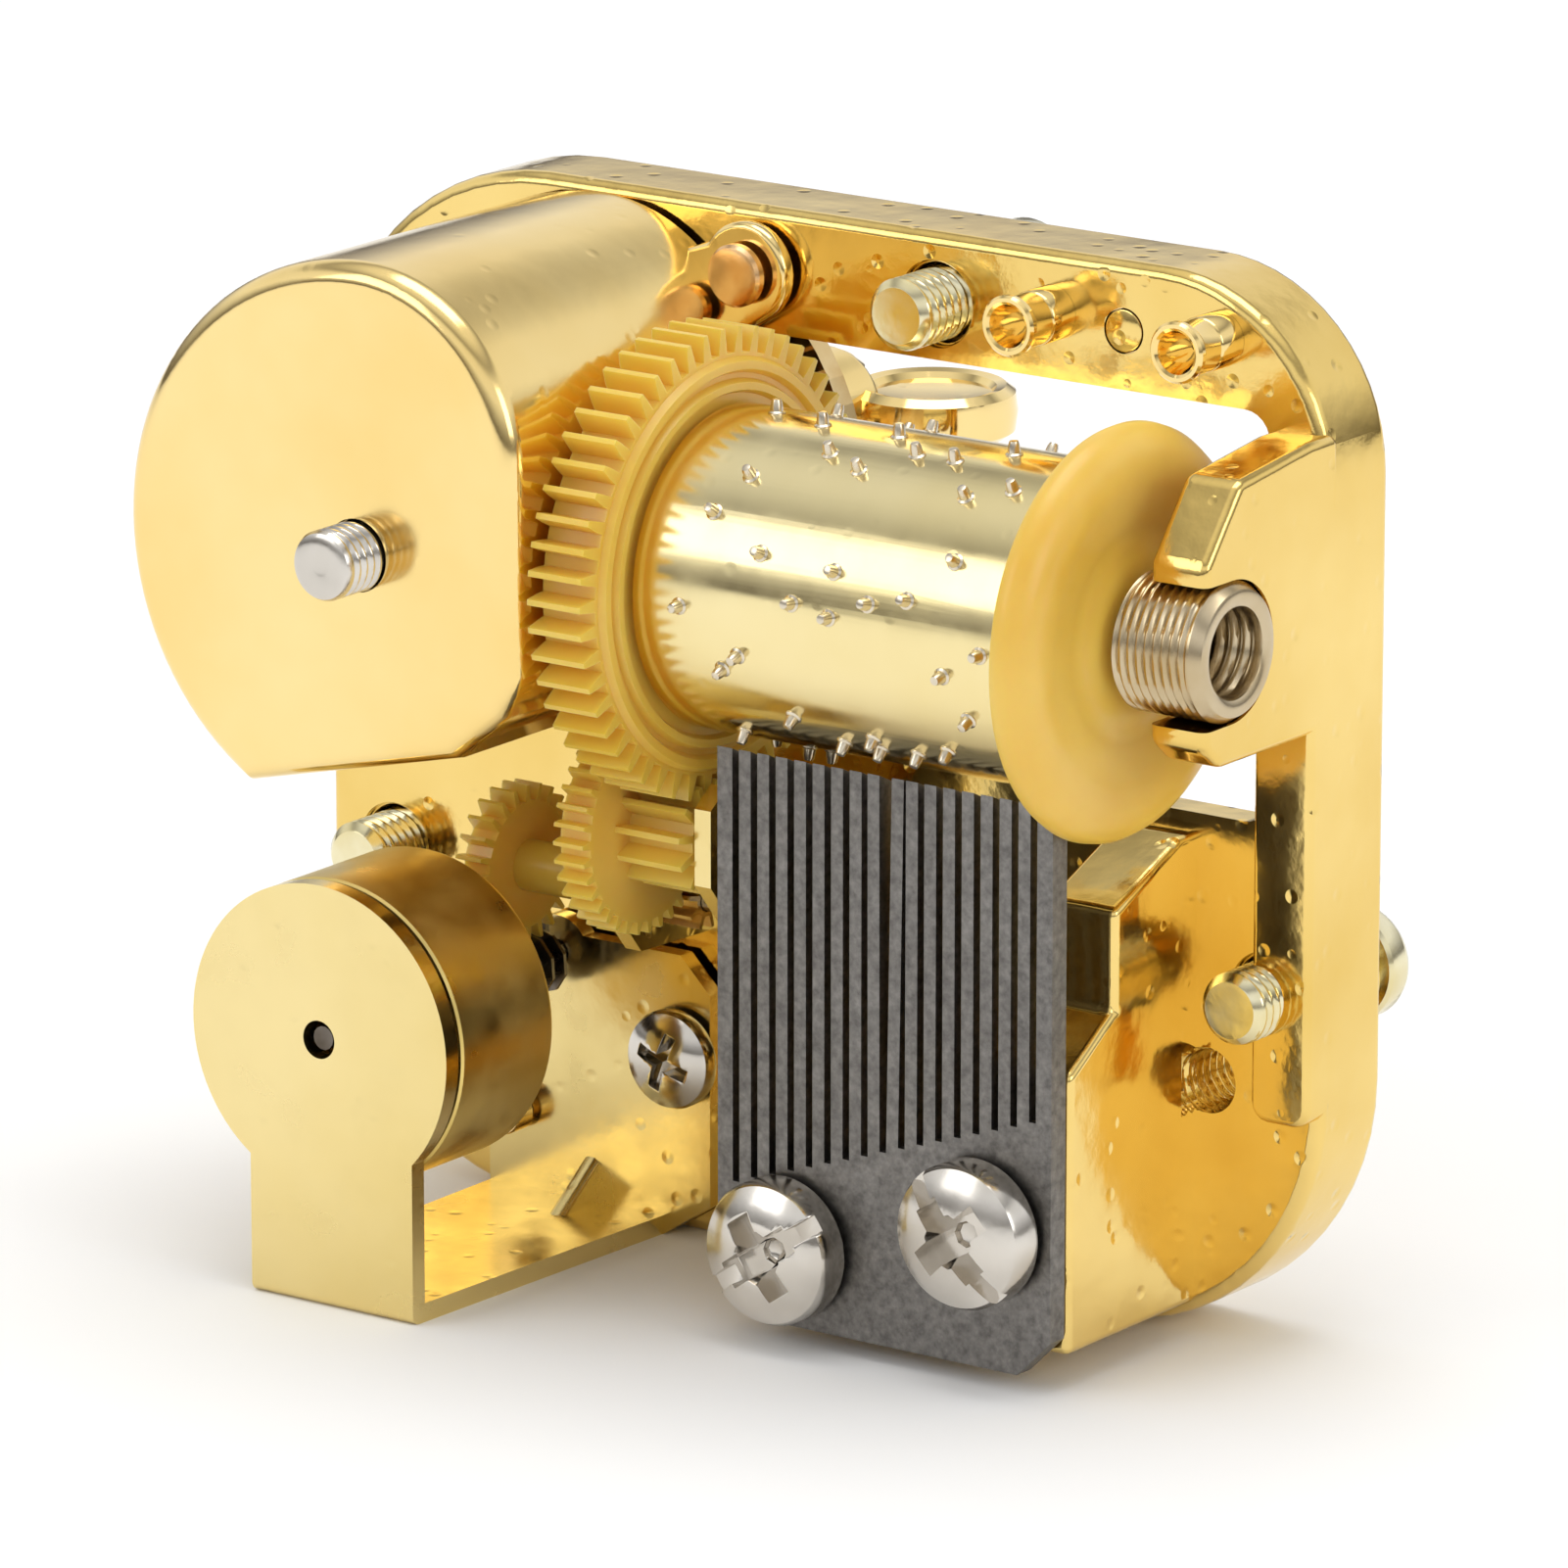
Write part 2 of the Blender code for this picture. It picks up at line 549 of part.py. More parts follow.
for side, x, inwards in (("left", COMB_LEFT, 1), ("right", COMB_RIGHT, -1)):
    wedge = [
        (x - inwards, COMB_BOTTOM - 1),
        (x + inwards * (CHAMFER + 1), COMB_BOTTOM - 1),
        (x - inwards, COMB_BOTTOM + CHAMFER + 1),
    ]
    cut(comb, f"comb_chamfer_{side}", prism(wedge, ahead(COMB_FRONT + 1), ahead(COMB_BACK - 1)))
COMB_HEAD_RADIUS = 3.0
COMB_HEAD_HEIGHT = 2.1
COMB_SCREW_LENGTH = 5.5
CROWN = 0.8
RECESS_REACH = 1.9
RECESS_HALF_WIDTH = 0.35
comb_seat = ahead(COMB_FRONT + SEAT_GAP)
comb_screw_top = comb_seat - COMB_HEAD_HEIGHT
comb_screw_end = comb_seat + COMB_SCREW_LENGTH
for side, place in COMB_SCREWS.items():
    comb_hole = rod(COMB_SHANK + 0.1, ahead(COMB_FRONT + 1), ahead(COMB_BACK - 1), segments=18)
    cut(comb, f"comb_hole_{side}", comb_hole, at(place))
    dome = [(0, comb_screw_top)]
    for share in (0.4, 0.7, 0.9, 1.0):
        dome.append((COMB_HEAD_RADIUS * share, comb_screw_top + CROWN * share ** 3))
    dome += [(COMB_HEAD_RADIUS, comb_seat), (COMB_SHANK, comb_seat)]
    dome += [(COMB_SHANK, comb_screw_end), (0, comb_screw_end)]
    screw = add(f"comb_screw_{side}", turned(dome, segments=22), NICKEL, at(place))
    for tilt in (35, 125):
        slot = block(
            (-RECESS_REACH, RECESS_REACH),
            (comb_screw_top - 1, comb_screw_top + 1),
            (-RECESS_HALF_WIDTH, RECESS_HALF_WIDTH),
        )
        bmesh.ops.rotate(slot, verts=slot.verts, matrix=Matrix.Rotation(radians(tilt), 3, "Y"))
        cut(screw, f"comb_recess_{side}_{tilt}", slot, at(place))

# Bearing bush: a threaded brass sleeve staked in the fork; the cylinder's arbor runs in its bore.
add("bearing_bush", turned([
    (BUSH_BORE, BUSH_LEFT), (BUSH_RADIUS - 0.2, BUSH_LEFT), (BUSH_RADIUS, BUSH_LEFT + 0.2),
    (BUSH_RADIUS, BUSH_RIGHT - 0.3), (BUSH_RADIUS - 0.3, BUSH_RIGHT), (BUSH_BORE + 0.25, BUSH_RIGHT),
    (BUSH_BORE, BUSH_RIGHT - 0.25),
], "X"), BRASS, cylinder_axis)

# Cylinder: sleeve with plucking pins, moulded gear, moulded end cap and the arbor they turn on.
SLEEVE_LEFT = GEAR_RIGHT + SEAT_GAP
SLEEVE_RIGHT = CAP_LEFT - SEAT_GAP
sleeve = add("cylinder_sleeve", turned([
    (SLEEVE_RADIUS - SLEEVE_WALL, SLEEVE_LEFT), (SLEEVE_RADIUS, SLEEVE_LEFT),
    (SLEEVE_RADIUS, SLEEVE_RIGHT), (SLEEVE_RADIUS - SLEEVE_WALL, SLEEVE_RIGHT),
], "X", 32), GOLD, cylinder_axis)
PINS_A_TRACK = 4
GOLDEN_STEP = 0.61803
pins = bmesh.new()
for tine in range(TINES - 1):
    track = COMB_LEFT + (tine + 0.5) * TINE_PITCH
    for beat in range(PINS_A_TRACK):
        share = ((tine * GOLDEN_STEP + beat * (1 + GOLDEN_STEP * tine / TINES)) / PINS_A_TRACK) % 1.0
        turn_to = Matrix.Rotation(2 * pi * share, 4, "X")
        place = turn_to @ Matrix.Translation((track, 0, SLEEVE_RADIUS + PIN_HEIGHT / 2 - 0.1))
        bmesh.ops.create_cone(
            pins, cap_ends=True, segments=5, radius1=PIN_RADIUS, radius2=PIN_RADIUS * 0.5,
            depth=PIN_HEIGHT + 0.2, matrix=place,
        )
fuse(sleeve, "cylinder_pins", pins, cylinder_axis)

GEAR_TIP = GEAR_RADIUS + 0.55
GEAR_ROOT = GEAR_RADIUS - 0.5
HUB_RADIUS = SLEEVE_RADIUS - SLEEVE_WALL - PRESS_GAP
HUB_LENGTH = 3.0
ROD_SEAT = ARBOR_ROD_RADIUS + PRESS_GAP
gear_teeth = gear_outline(CYLINDER_TEETH, GEAR_ROOT, GEAR_TIP, 0.5, 0.2)
gear = add("cylinder_gear", prism(gear_teeth, GEAR_LEFT, GEAR_RIGHT, "X"), PLASTIC, cylinder_axis)
gear_hub = rod(HUB_RADIUS, GEAR_RIGHT - 0.5, GEAR_RIGHT + HUB_LENGTH, "X", 28)
fuse(gear, "cylinder_gear_hub", gear_hub, cylinder_axis)
gear_bore = rod(ROD_SEAT, GEAR_LEFT - 1, GEAR_RIGHT + HUB_LENGTH + 1, "X", 18)
cut(gear, "cylinder_gear_bore", gear_bore, cylinder_axis)
CAP_RIGHT = CAP_LEFT + CAP_THICKNESS
add("cylinder_cap", turned([
    (ROD_SEAT, CAP_LEFT - HUB_LENGTH), (HUB_RADIUS, CAP_LEFT - HUB_LENGTH), (HUB_RADIUS, CAP_LEFT),
    (CAP_RADIUS - 0.3, CAP_LEFT), (CAP_RADIUS, CAP_LEFT + 0.3), (CAP_RADIUS - 0.2, CAP_LEFT + 1.0),
    (CAP_RADIUS - 1.3, CAP_RIGHT), (CAP_RADIUS / 2, CAP_RIGHT - 0.5), (BUSH_RADIUS + 0.5, CAP_RIGHT - 0.1),
    (ROD_SEAT, CAP_RIGHT - 0.1),
], "X", 32), PLASTIC, cylinder_axis)
PIVOT_LEFT = CUP_RIGHT - HOUSING_WALL - 0.3
ROD_HEAD = BUSH_BORE - RUNNING
ROD_END = BUSH_LEFT + 2.0
add("cylinder_arbor", turned([
    (0, PIVOT_LEFT), (ARBOR_ROD_RADIUS, PIVOT_LEFT), (ARBOR_ROD_RADIUS, CAP_RIGHT + 0.1),
    (ROD_HEAD, CAP_RIGHT + 0.1), (ROD_HEAD, ROD_END - 0.3), (ROD_HEAD - 0.3, ROD_END), (0, ROD_END),
], "X", 18), NICKEL, cylinder_axis)

# Winding arbor with its great wheel behind the skin, click washer and butterfly key.
CROWN_DEPTH = 0.45
CROWN_TOOTH_LENGTH = 0.5
CROWN_TOOTH_WIDTH = 0.18
GREAT_TOOTH_TOP = CYLINDER_Y + GEAR_TIP - CROWN_DEPTH
GREAT_FACE = CYLINDER_Y + GEAR_TIP + 0.25
GREAT_BACK = BACK - 0.35
CROWN_TOOTH_FOOT = GREAT_FACE + 0.2
arbor_tip = CUP_FRONT - 2.4
KEY_SEAT = BACK + 3.2
ARBOR_TAIL = KEY_SEAT + 6.7
add("winding_arbor", turned([
    (0, arbor_tip), (ARBOR_PIVOT_RADIUS - 0.25, arbor_tip), (ARBOR_PIVOT_RADIUS, arbor_tip + 0.25),
    (ARBOR_PIVOT_RADIUS, CUP_FRONT - 0.9), (ARBOR_PIVOT_RADIUS - 0.3, CUP_FRONT - 0.8),
    (ARBOR_PIVOT_RADIUS - 0.3, CUP_FRONT - 0.45), (ARBOR_PIVOT_RADIUS, CUP_FRONT - 0.35),
    (ARBOR_PIVOT_RADIUS, CUP_FRONT + HOUSING_WALL + 0.3), (ARBOR_RADIUS, CUP_FRONT + HOUSING_WALL + 0.3),
    (ARBOR_RADIUS, GREAT_BACK + 0.3), (M3_RADIUS, GREAT_BACK + 0.3), (M3_RADIUS, ARBOR_TAIL), (0, ARBOR_TAIL),
]), NICKEL, arbor_axis)
WHEEL_RIM = GREAT_RADIUS + 0.55
great_wheel = add("great_wheel", turned([
    (ARBOR_RADIUS + PRESS_GAP, GREAT_FACE), (WHEEL_RIM, GREAT_FACE),
    (WHEEL_RIM, GREAT_BACK), (ARBOR_RADIUS + PRESS_GAP, GREAT_BACK),
], segments=52), BRASS, arbor_axis)
crown = bmesh.new()
for tooth in range(GREAT_TEETH):
    swing = Matrix.Rotation(2 * pi * (tooth + 0.5) / GREAT_TEETH, 4, "Y")
    out = Matrix.Translation((GREAT_RADIUS, (GREAT_TOOTH_TOP + CROWN_TOOTH_FOOT) / 2, 0))
    stretch = Matrix.Diagonal((CROWN_TOOTH_LENGTH, CROWN_TOOTH_FOOT - GREAT_TOOTH_TOP, CROWN_TOOTH_WIDTH, 1))
    bmesh.ops.create_cube(crown, size=1.0, matrix=swing @ out @ stretch)
fuse(great_wheel, "great_wheel_teeth", crown, arbor_axis)
CLICK_RADIUS = 3.4
click_front = BACK + SEAT_GAP
click_back = click_front + 0.4
add("click_washer", turned([
    (M3_RADIUS + PRESS_GAP, click_front), (CLICK_RADIUS, click_front),
    (CLICK_RADIUS, click_back), (M3_RADIUS + PRESS_GAP, click_back),
], segments=18), NICKEL, arbor_axis)
KEY_LENGTH = 8.2
LOBE = 3.6
LOBE_OUT = 3.9
KEY_HALF = 0.75
KEY_RIM = KEY_HALF + 0.35
KEY_TUBE = 2.6
key_tube = rod(KEY_TUBE, KEY_SEAT, KEY_SEAT + KEY_LENGTH, segments=18, chamfer=0.4)
key = add("winding_key", key_tube, GOLD, arbor_axis)
key_lobe_y = KEY_SEAT + KEY_LENGTH + 1.6
for side in (-1, 1):
    lobe = turned([
        (0, -KEY_HALF), (LOBE - 0.9, -KEY_HALF), (LOBE - 0.9, -KEY_RIM), (LOBE - 0.2, -KEY_RIM), (LOBE, 0),
        (LOBE - 0.2, KEY_RIM), (LOBE - 0.9, KEY_RIM), (LOBE - 0.9, KEY_HALF), (0, KEY_HALF),
    ], "Z", 20)
    bmesh.ops.translate(lobe, verts=lobe.verts, vec=(side * LOBE_OUT, key_lobe_y, 0))
    fuse(key, f"key_lobe_{side}", lobe, arbor_axis)
cut(key, "key_bore", rod(M3_RADIUS + RUNNING, KEY_SEAT - 1, ARBOR_TAIL + 0.5, segments=18), arbor_axis)

# Train bracket: a bent strip on the plate with two ears that carry the second and third arbors.
TRAIN_ROD = 0.6
ear_outline = [
    (ahead(SEAT_GAP), THIRD_Z - 2.4), (ahead(THIRD_REACH + 1.6), THIRD_Z - 2.2),
    (ahead(SECOND_REACH + 1.7), SECOND_Z - 1.6), (ahead(SECOND_REACH + 1.7), SECOND_Z + 1.6),
    (ahead(SECOND_REACH + 0.6), SECOND_Z + 2.4), (ahead(2.0), THIRD_Z + 2.8),
    (ahead(SEAT_GAP), THIRD_Z + 2.4),
]
train_bracket = add("train_bracket", prism(ear_outline, EAR_RIGHT, EAR_RIGHT + SHEET, "X"), GOLD)
fuse(train_bracket, "train_bracket_inner_ear", prism(ear_outline, EAR_MIDDLE, EAR_MIDDLE + SHEET, "X"))
fuse(train_bracket, "train_bracket_foot", block(
    (EAR_MIDDLE + SHEET / 2, EAR_RIGHT + SHEET / 2),
    (ahead(SEAT_GAP + SHEET * 0.9), ahead(SEAT_GAP)),
    (THIRD_Z - 2.3, THIRD_Z + 1.2),
))
second_axis = (0, SECOND_Y, SECOND_Z)
third_axis = (0, THIRD_Y, THIRD_Z)
for name, axis in (("second", second_axis), ("third", third_axis)):
    bores = rod(TRAIN_ROD + RUNNING, EAR_MIDDLE - 1, EAR_RIGHT + 2, "X", 14)
    cut(train_bracket, f"train_bracket_{name}_bores", bores, axis)

# Second wheel: one moulding, its pinion driven by the cylinder gear and its wheel driving the third pinion.
second_towards = (CYLINDER_Y - SECOND_Y, CYLINDER_Z - SECOND_Z)
SECOND_PHASE = mesh_phase(SECOND_PINION_TEETH, CYLINDER_TEETH, second_towards)
SECOND_ROOT = SECOND_MODULE * (SECOND_TEETH / 2 - 1.3)
SECOND_TIP = SECOND_MODULE * (SECOND_TEETH / 2 + 0.85)
second_teeth = gear_outline(SECOND_TEETH, SECOND_ROOT, SECOND_TIP, 0.5, 0.22)
second_body = prism(second_teeth, SECOND_WHEEL_LEFT, SECOND_WHEEL_RIGHT, "X")
second = add("second_wheel", second_body, PLASTIC, second_axis)
fuse(second, "second_pinion", prism(
    gear_outline(SECOND_PINION_TEETH, PINION_RADIUS - 0.65, PINION_RADIUS + 0.28, 0.42, 0.2, SECOND_PHASE),
    SECOND_WHEEL_RIGHT - 0.3, EAR_RIGHT - SEAT_GAP, "X",
), second_axis)
second_bore = rod(TRAIN_ROD + PRESS_GAP, SECOND_WHEEL_LEFT - 1, EAR_RIGHT, "X", 14)
cut(second, "second_bore", second_bore, second_axis)
second_arbor = rod(TRAIN_ROD, EAR_MIDDLE - 0.4, EAR_RIGHT + SHEET + 0.4, "X", 20, 0.15)
add("second_arbor", second_arbor, NICKEL, second_axis)

# Third wheel: the worm wheel overhangs the bracket's inner ear, over the governor's worm.
THIRD_PINION_RADIUS = SECOND_MODULE * THIRD_PINION_TEETH / 2
THIRD_PHASE = mesh_phase(THIRD_PINION_TEETH, SECOND_TEETH, (SECOND_Y - THIRD_Y, SECOND_Z - THIRD_Z))
WORM_WHEEL_WIDTH = 1.3
WORM_TIP = WORM_PITCH_RADIUS + 0.18
WORM_ROOT = WORM_PITCH_RADIUS - 0.42
WORM_WHEEL_TIP = WORM_WHEEL_RADIUS + 0.2
WORM_WHEEL_ROOT = WORM_WHEEL_RADIUS - 0.5
third = add("third_wheel", prism(
    gear_outline(WORM_WHEEL_TEETH, WORM_WHEEL_ROOT, WORM_WHEEL_TIP, 0.42, 0.18, -WORM_WHEEL_TEETH / 4),
    GOVERNOR_X - WORM_WHEEL_WIDTH / 2, GOVERNOR_X + WORM_WHEEL_WIDTH / 2, "X",
), PLASTIC, third_axis)
third_sleeve = rod(THIRD_PINION_RADIUS, GOVERNOR_X, EAR_MIDDLE - SEAT_GAP, "X", 18)
fuse(third, "third_sleeve", third_sleeve, third_axis)
third_bore = rod(TRAIN_ROD + PRESS_GAP, GOVERNOR_X - 2, EAR_MIDDLE, "X", 14)
cut(third, "third_wheel_bore", third_bore, third_axis)
THIRD_JOURNAL = TRAIN_ROD * 0.8
THIRD_PINION_ROOT = THIRD_PINION_RADIUS - 0.36
THIRD_PINION_TIP = THIRD_PINION_RADIUS + 0.2
pinion = add("third_pinion", prism(
    gear_outline(THIRD_PINION_TEETH, THIRD_PINION_ROOT, THIRD_PINION_TIP, 0.42, 0.2, THIRD_PHASE),
    SECOND_WHEEL_LEFT - 0.2, SECOND_WHEEL_RIGHT + 0.2, "X",
), BRASS, third_axis)
pinion_bore = rod(THIRD_JOURNAL + PRESS_GAP, SECOND_WHEEL_LEFT - 1, SECOND_WHEEL_RIGHT + 1, "X", 14)
cut(pinion, "third_pinion_bore", pinion_bore, third_axis)
third_left = GOVERNOR_X - 1.2
third_right = EAR_RIGHT + SHEET + 0.4
journal_left = EAR_MIDDLE + SHEET + 0.1
journal_right = EAR_RIGHT - 0.2
add("third_arbor", turned([
    (0, third_left), (TRAIN_ROD, third_left), (TRAIN_ROD, journal_left), (THIRD_JOURNAL, journal_left),
    (THIRD_JOURNAL, journal_right), (TRAIN_ROD, journal_right), (TRAIN_ROD, third_right), (0, third_right),
], "X", 14), NICKEL, third_axis)

# Governor: worm shaft, two friction weights in a can, and the bent bracket that holds the can's front.
governor_axis = (GOVERNOR_X, 0, GOVERNOR_Z)
SHAFT_RADIUS = WORM_ROOT - 0.05
PIVOT_RADIUS = 0.5
BRACKET_FACE = ahead(GOVERNOR_REACH)
CAN_FRONT = BRACKET_FACE + SHEET + SEAT_GAP
CAN_BACK = CAN_FRONT + CAN_DEPTH
CAN_WALL = 0.6
WORM_LENGTH = 4.4
worm_end = THIRD_Y + WORM_LENGTH / 2


def worm_thread(start, turns, steps_a_turn):
    """A helical rib of trapezoid section, rooted a little inside its shaft."""
    shape = bmesh.new()
    section = [(WORM_ROOT - 0.2, -0.2), (WORM_TIP, -0.09), (WORM_TIP, 0.09), (WORM_ROOT - 0.2, 0.2)]
    rings = []
    for step in range(turns * steps_a_turn + 1):
        angle = 2 * pi * step / steps_a_turn
        along = start + WORM_LEAD * step / steps_a_turn
        rings.append([
            shape.verts.new((radius * sin(angle), along + offset, radius * cos(angle)))
            for radius, offset in section
        ])
    for first, following in zip(rings, rings[1:]):
        for corner in range(4):
            other = (corner + 1) % 4
            shape.faces.new((first[corner], first[other], following[other], following[corner]))
    shape.faces.new(rings[0])
    shape.faces.new(rings[-1][::-1])
    return shape


# An odd number of turns about the wheel's middle puts a thread gap, not a crest, under the wheel's tooth.
WORM_TURNS = 5
shaft_front = CAN_FRONT - SHEET
shaft_back = ahead(SEAT_GAP + 0.1)
shaft = add("governor_shaft", turned([
    (0, shaft_front), (PIVOT_RADIUS, shaft_front), (PIVOT_RADIUS, CAN_FRONT + 0.4),
    (SHAFT_RADIUS, CAN_FRONT + 0.8), (SHAFT_RADIUS, worm_end), (PIVOT_RADIUS, worm_end + 0.3),
    (PIVOT_RADIUS, shaft_back), (0, shaft_back),
], segments=14), DARK_STEEL, governor_axis)
thread = worm_thread(THIRD_Y - WORM_LEAD * WORM_TURNS / 2, WORM_TURNS, 10)
fuse(shaft, "governor_worm_thread", thread, governor_axis)
CAN_INSIDE = CAN_RADIUS - CAN_WALL
CAN_HOLE = SHAFT_RADIUS + 0.3
can = add("governor_can", turned([
    (CAN_RADIUS, CAN_BACK), (CAN_RADIUS, CAN_FRONT), (CAN_INSIDE, CAN_FRONT),
    (CAN_INSIDE, CAN_BACK - CAN_WALL), (CAN_HOLE, CAN_BACK - CAN_WALL), (CAN_HOLE, CAN_BACK),
], segments=30), GOLD, governor_axis)
WEIGHT_SWEEP = 156
for name, start in (("friction_weight_upper", 12), ("friction_weight_lower", 192)):
    weight = arc((0, 0), CAN_INSIDE - 0.25, start, start + WEIGHT_SWEEP, 12)
    weight += arc((0, 0), SHAFT_RADIUS + 0.1, start + WEIGHT_SWEEP, start, 6)
    add(name, prism(weight, CAN_FRONT + 1.2, CAN_BACK - CAN_WALL - 0.9), BRASS, governor_axis)

NECK_OUT_LEFT = 3.6
NECK_OUT_RIGHT = 4.7
NECK_LEFT = GOVERNOR_X - NECK_OUT_LEFT
NECK_RIGHT = GOVERNOR_X + NECK_OUT_RIGHT
disc_start = 270 + degrees(asin(NECK_OUT_RIGHT / CAN_RADIUS))
disc_end = 630 - degrees(asin(NECK_OUT_LEFT / CAN_RADIUS))
lollipop = arc((GOVERNOR_X, GOVERNOR_Z), CAN_RADIUS, disc_start, disc_end, 28)
lollipop += [(NECK_LEFT, 0), (NECK_RIGHT, 0)]
bracket = add("governor_bracket", prism(lollipop, BRACKET_FACE, BRACKET_FACE + SHEET), GOLD)
BRACKET_RIGHT = -4.4
BRACKET_TOP = GOVERNOR_Z + 0.9
bracket_foot = [
    (NECK_LEFT, BRACKET_FACE + SHEET / 2), (NECK_RIGHT, BRACKET_FACE + SHEET / 2),
    (NECK_RIGHT + 0.7, ahead(SEAT_GAP)), (NECK_LEFT, ahead(SEAT_GAP)),
]
fuse(bracket, "bracket_foot", prism(bracket_foot, 0, SHEET, "Z"))
back_plate = [
    (NECK_LEFT, 0), (NECK_RIGHT + 0.7, 0), (BRACKET_RIGHT, 1.6), (BRACKET_RIGHT, BRACKET_TOP - 1.5),
    (BRACKET_RIGHT - 1.5, BRACKET_TOP), (NECK_LEFT, BRACKET_TOP),
]
fuse(bracket, "bracket_back", prism(back_plate, ahead(SEAT_GAP + SHEET), ahead(SEAT_GAP)))
pivot_tab = rod(1.6, ahead(SEAT_GAP + SHEET), ahead(SEAT_GAP), segments=18)
fuse(bracket, "bracket_pivot_tab", pivot_tab, governor_axis)
gusset_root = ahead(SEAT_GAP + SHEET / 2)
gusset = [(gusset_root, SHEET / 2), (ahead(SEAT_GAP + 3.9), SHEET / 2), (gusset_root, 3.0)]
fuse(bracket, "bracket_gusset", prism(gusset, NECK_RIGHT - 3.4, NECK_RIGHT - 2.6, "X"))
front_pivot = rod(PIVOT_RADIUS + RUNNING, BRACKET_FACE - 1, BRACKET_FACE + SHEET + 0.2, segments=14)
cut(bracket, "bracket_front_pivot", front_pivot, governor_axis)
rear_pivot = rod(PIVOT_RADIUS + RUNNING, ahead(SEAT_GAP + SHEET + 1), FRONT, segments=14)
cut(bracket, "bracket_rear_pivot", rear_pivot, governor_axis)
seat = ahead(SHEET + 2 * SEAT_GAP)
for name, place, radius, head, height, finish in (
    ("bracket_screw", (-5.9, 7.9), 1.0, 2.1, 1.2, NICKEL),
    ("bracket_stud", (-14.2, 4.2), 0.6, 0.85, 1.0, BRASS),
):
    plate_hole(f"{name}_bedplate_hole", place, radius + RUNNING)
    cut(bracket, f"{name}_hole", rod(radius + RUNNING, ahead(3), FRONT, segments=14), at(place))
    head_profile = [
        (0, seat - height), (head * 0.7, seat - height), (head, seat - height * 0.55), (head, seat),
        (radius, seat), (radius, FRONT + SKIN), (0, FRONT + SKIN),
    ]
    add(name, turned(head_profile, segments=18), finish, at(place))
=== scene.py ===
from math import asin, atan2, cos, degrees, hypot, pi, radians, sin

import bmesh
import bpy
from mathutils import Matrix, Vector


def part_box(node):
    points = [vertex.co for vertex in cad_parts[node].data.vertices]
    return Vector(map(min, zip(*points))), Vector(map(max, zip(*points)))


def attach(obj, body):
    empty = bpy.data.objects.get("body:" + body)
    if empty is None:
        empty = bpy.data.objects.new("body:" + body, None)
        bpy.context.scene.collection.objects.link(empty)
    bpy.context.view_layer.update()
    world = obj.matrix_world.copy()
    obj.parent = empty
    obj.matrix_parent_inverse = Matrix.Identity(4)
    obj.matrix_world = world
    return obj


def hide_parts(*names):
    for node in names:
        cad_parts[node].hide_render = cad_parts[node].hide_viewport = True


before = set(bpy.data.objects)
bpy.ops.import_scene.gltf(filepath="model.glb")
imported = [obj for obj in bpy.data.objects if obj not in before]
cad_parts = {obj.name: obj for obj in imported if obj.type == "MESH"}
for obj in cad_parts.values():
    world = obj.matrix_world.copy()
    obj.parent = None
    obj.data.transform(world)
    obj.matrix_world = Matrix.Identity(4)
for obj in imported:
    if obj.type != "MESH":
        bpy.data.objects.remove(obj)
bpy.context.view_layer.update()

# Table and light: a plain pale sheet under one movement, a large soft box over the left shoulder, a second on
# the right and a white card above, so that plated faces show bright bands with darker gaps between them.
MM = 0.001


def span(node):
    """A CAD node's extent in millimetres: pairs for x, y and z."""
    low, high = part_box(node)
    return [(low[axis] / MM, high[axis] / MM) for axis in range(3)]


AZIMUTH = radians(35.84)
ELEVATION = radians(15.02)
DISTANCE = 479.25
LENS = 269.9
SENSOR = 36
AIM_LEFT = 0.34
AIM_AHEAD = 1.5
AIM_SHARE = 0.4655
plate_x, plate_y, plate_z = span("bedplate")
plate_middle = (plate_x[0] + plate_x[1]) / 2
RIM_DEPTH = 4.5
plate_front = plate_y[1] - RIM_DEPTH
aim = Vector((plate_middle - AIM_LEFT, plate_front - AIM_AHEAD, plate_z[1] * AIM_SHARE))
away = Vector((sin(AZIMUTH) * cos(ELEVATION), -cos(AZIMUTH) * cos(ELEVATION), sin(ELEVATION)))
camera_data = bpy.data.cameras.new("camera")
camera_data.lens = LENS
camera_data.sensor_width = SENSOR
camera = bpy.data.objects.new("camera", camera_data)
camera.location = (aim + away * DISTANCE) * MM
camera.rotation_euler = away.to_track_quat("Z", "Y").to_euler()
bpy.context.collection.objects.link(camera)
bpy.context.scene.camera = camera
bpy.context.scene.view_settings.view_transform = "Standard"

FLOOR_HALF = 2.5
floor_shape = bmesh.new()
bmesh.ops.create_grid(floor_shape, x_segments=1, y_segments=1, size=FLOOR_HALF)
floor_mesh = bpy.data.meshes.new("floor")
floor_shape.to_mesh(floor_mesh)
floor_shape.free()
floor = bpy.data.objects.new("floor", floor_mesh)
bpy.context.collection.objects.link(floor)
paper = bpy.data.materials.new("pale paper")
paper.use_nodes = True
paper_sockets = paper.node_tree.nodes["Principled BSDF"].inputs
paper_sockets["Base Color"].default_value = (0.96, 0.96, 0.96, 1)
paper_sockets["Roughness"].default_value = 0.9
paper_sockets["Specular IOR Level"].default_value = 0.1
floor.data.materials.append(paper)


LAMPS_FACE = Vector((0, 0, 0.022))


def soft_box(name, place, size, power):
    """A square area light that faces the movement: its place and size in metres, its power in watts."""
    lamp = bpy.data.lights.new(name, "AREA")
    lamp.size = size
    lamp.energy = power
    light = bpy.data.objects.new(name, lamp)
    light.location = place
    light.rotation_euler = (Vector(place) - LAMPS_FACE).to_track_quat("Z", "Y").to_euler()
    bpy.context.collection.objects.link(light)


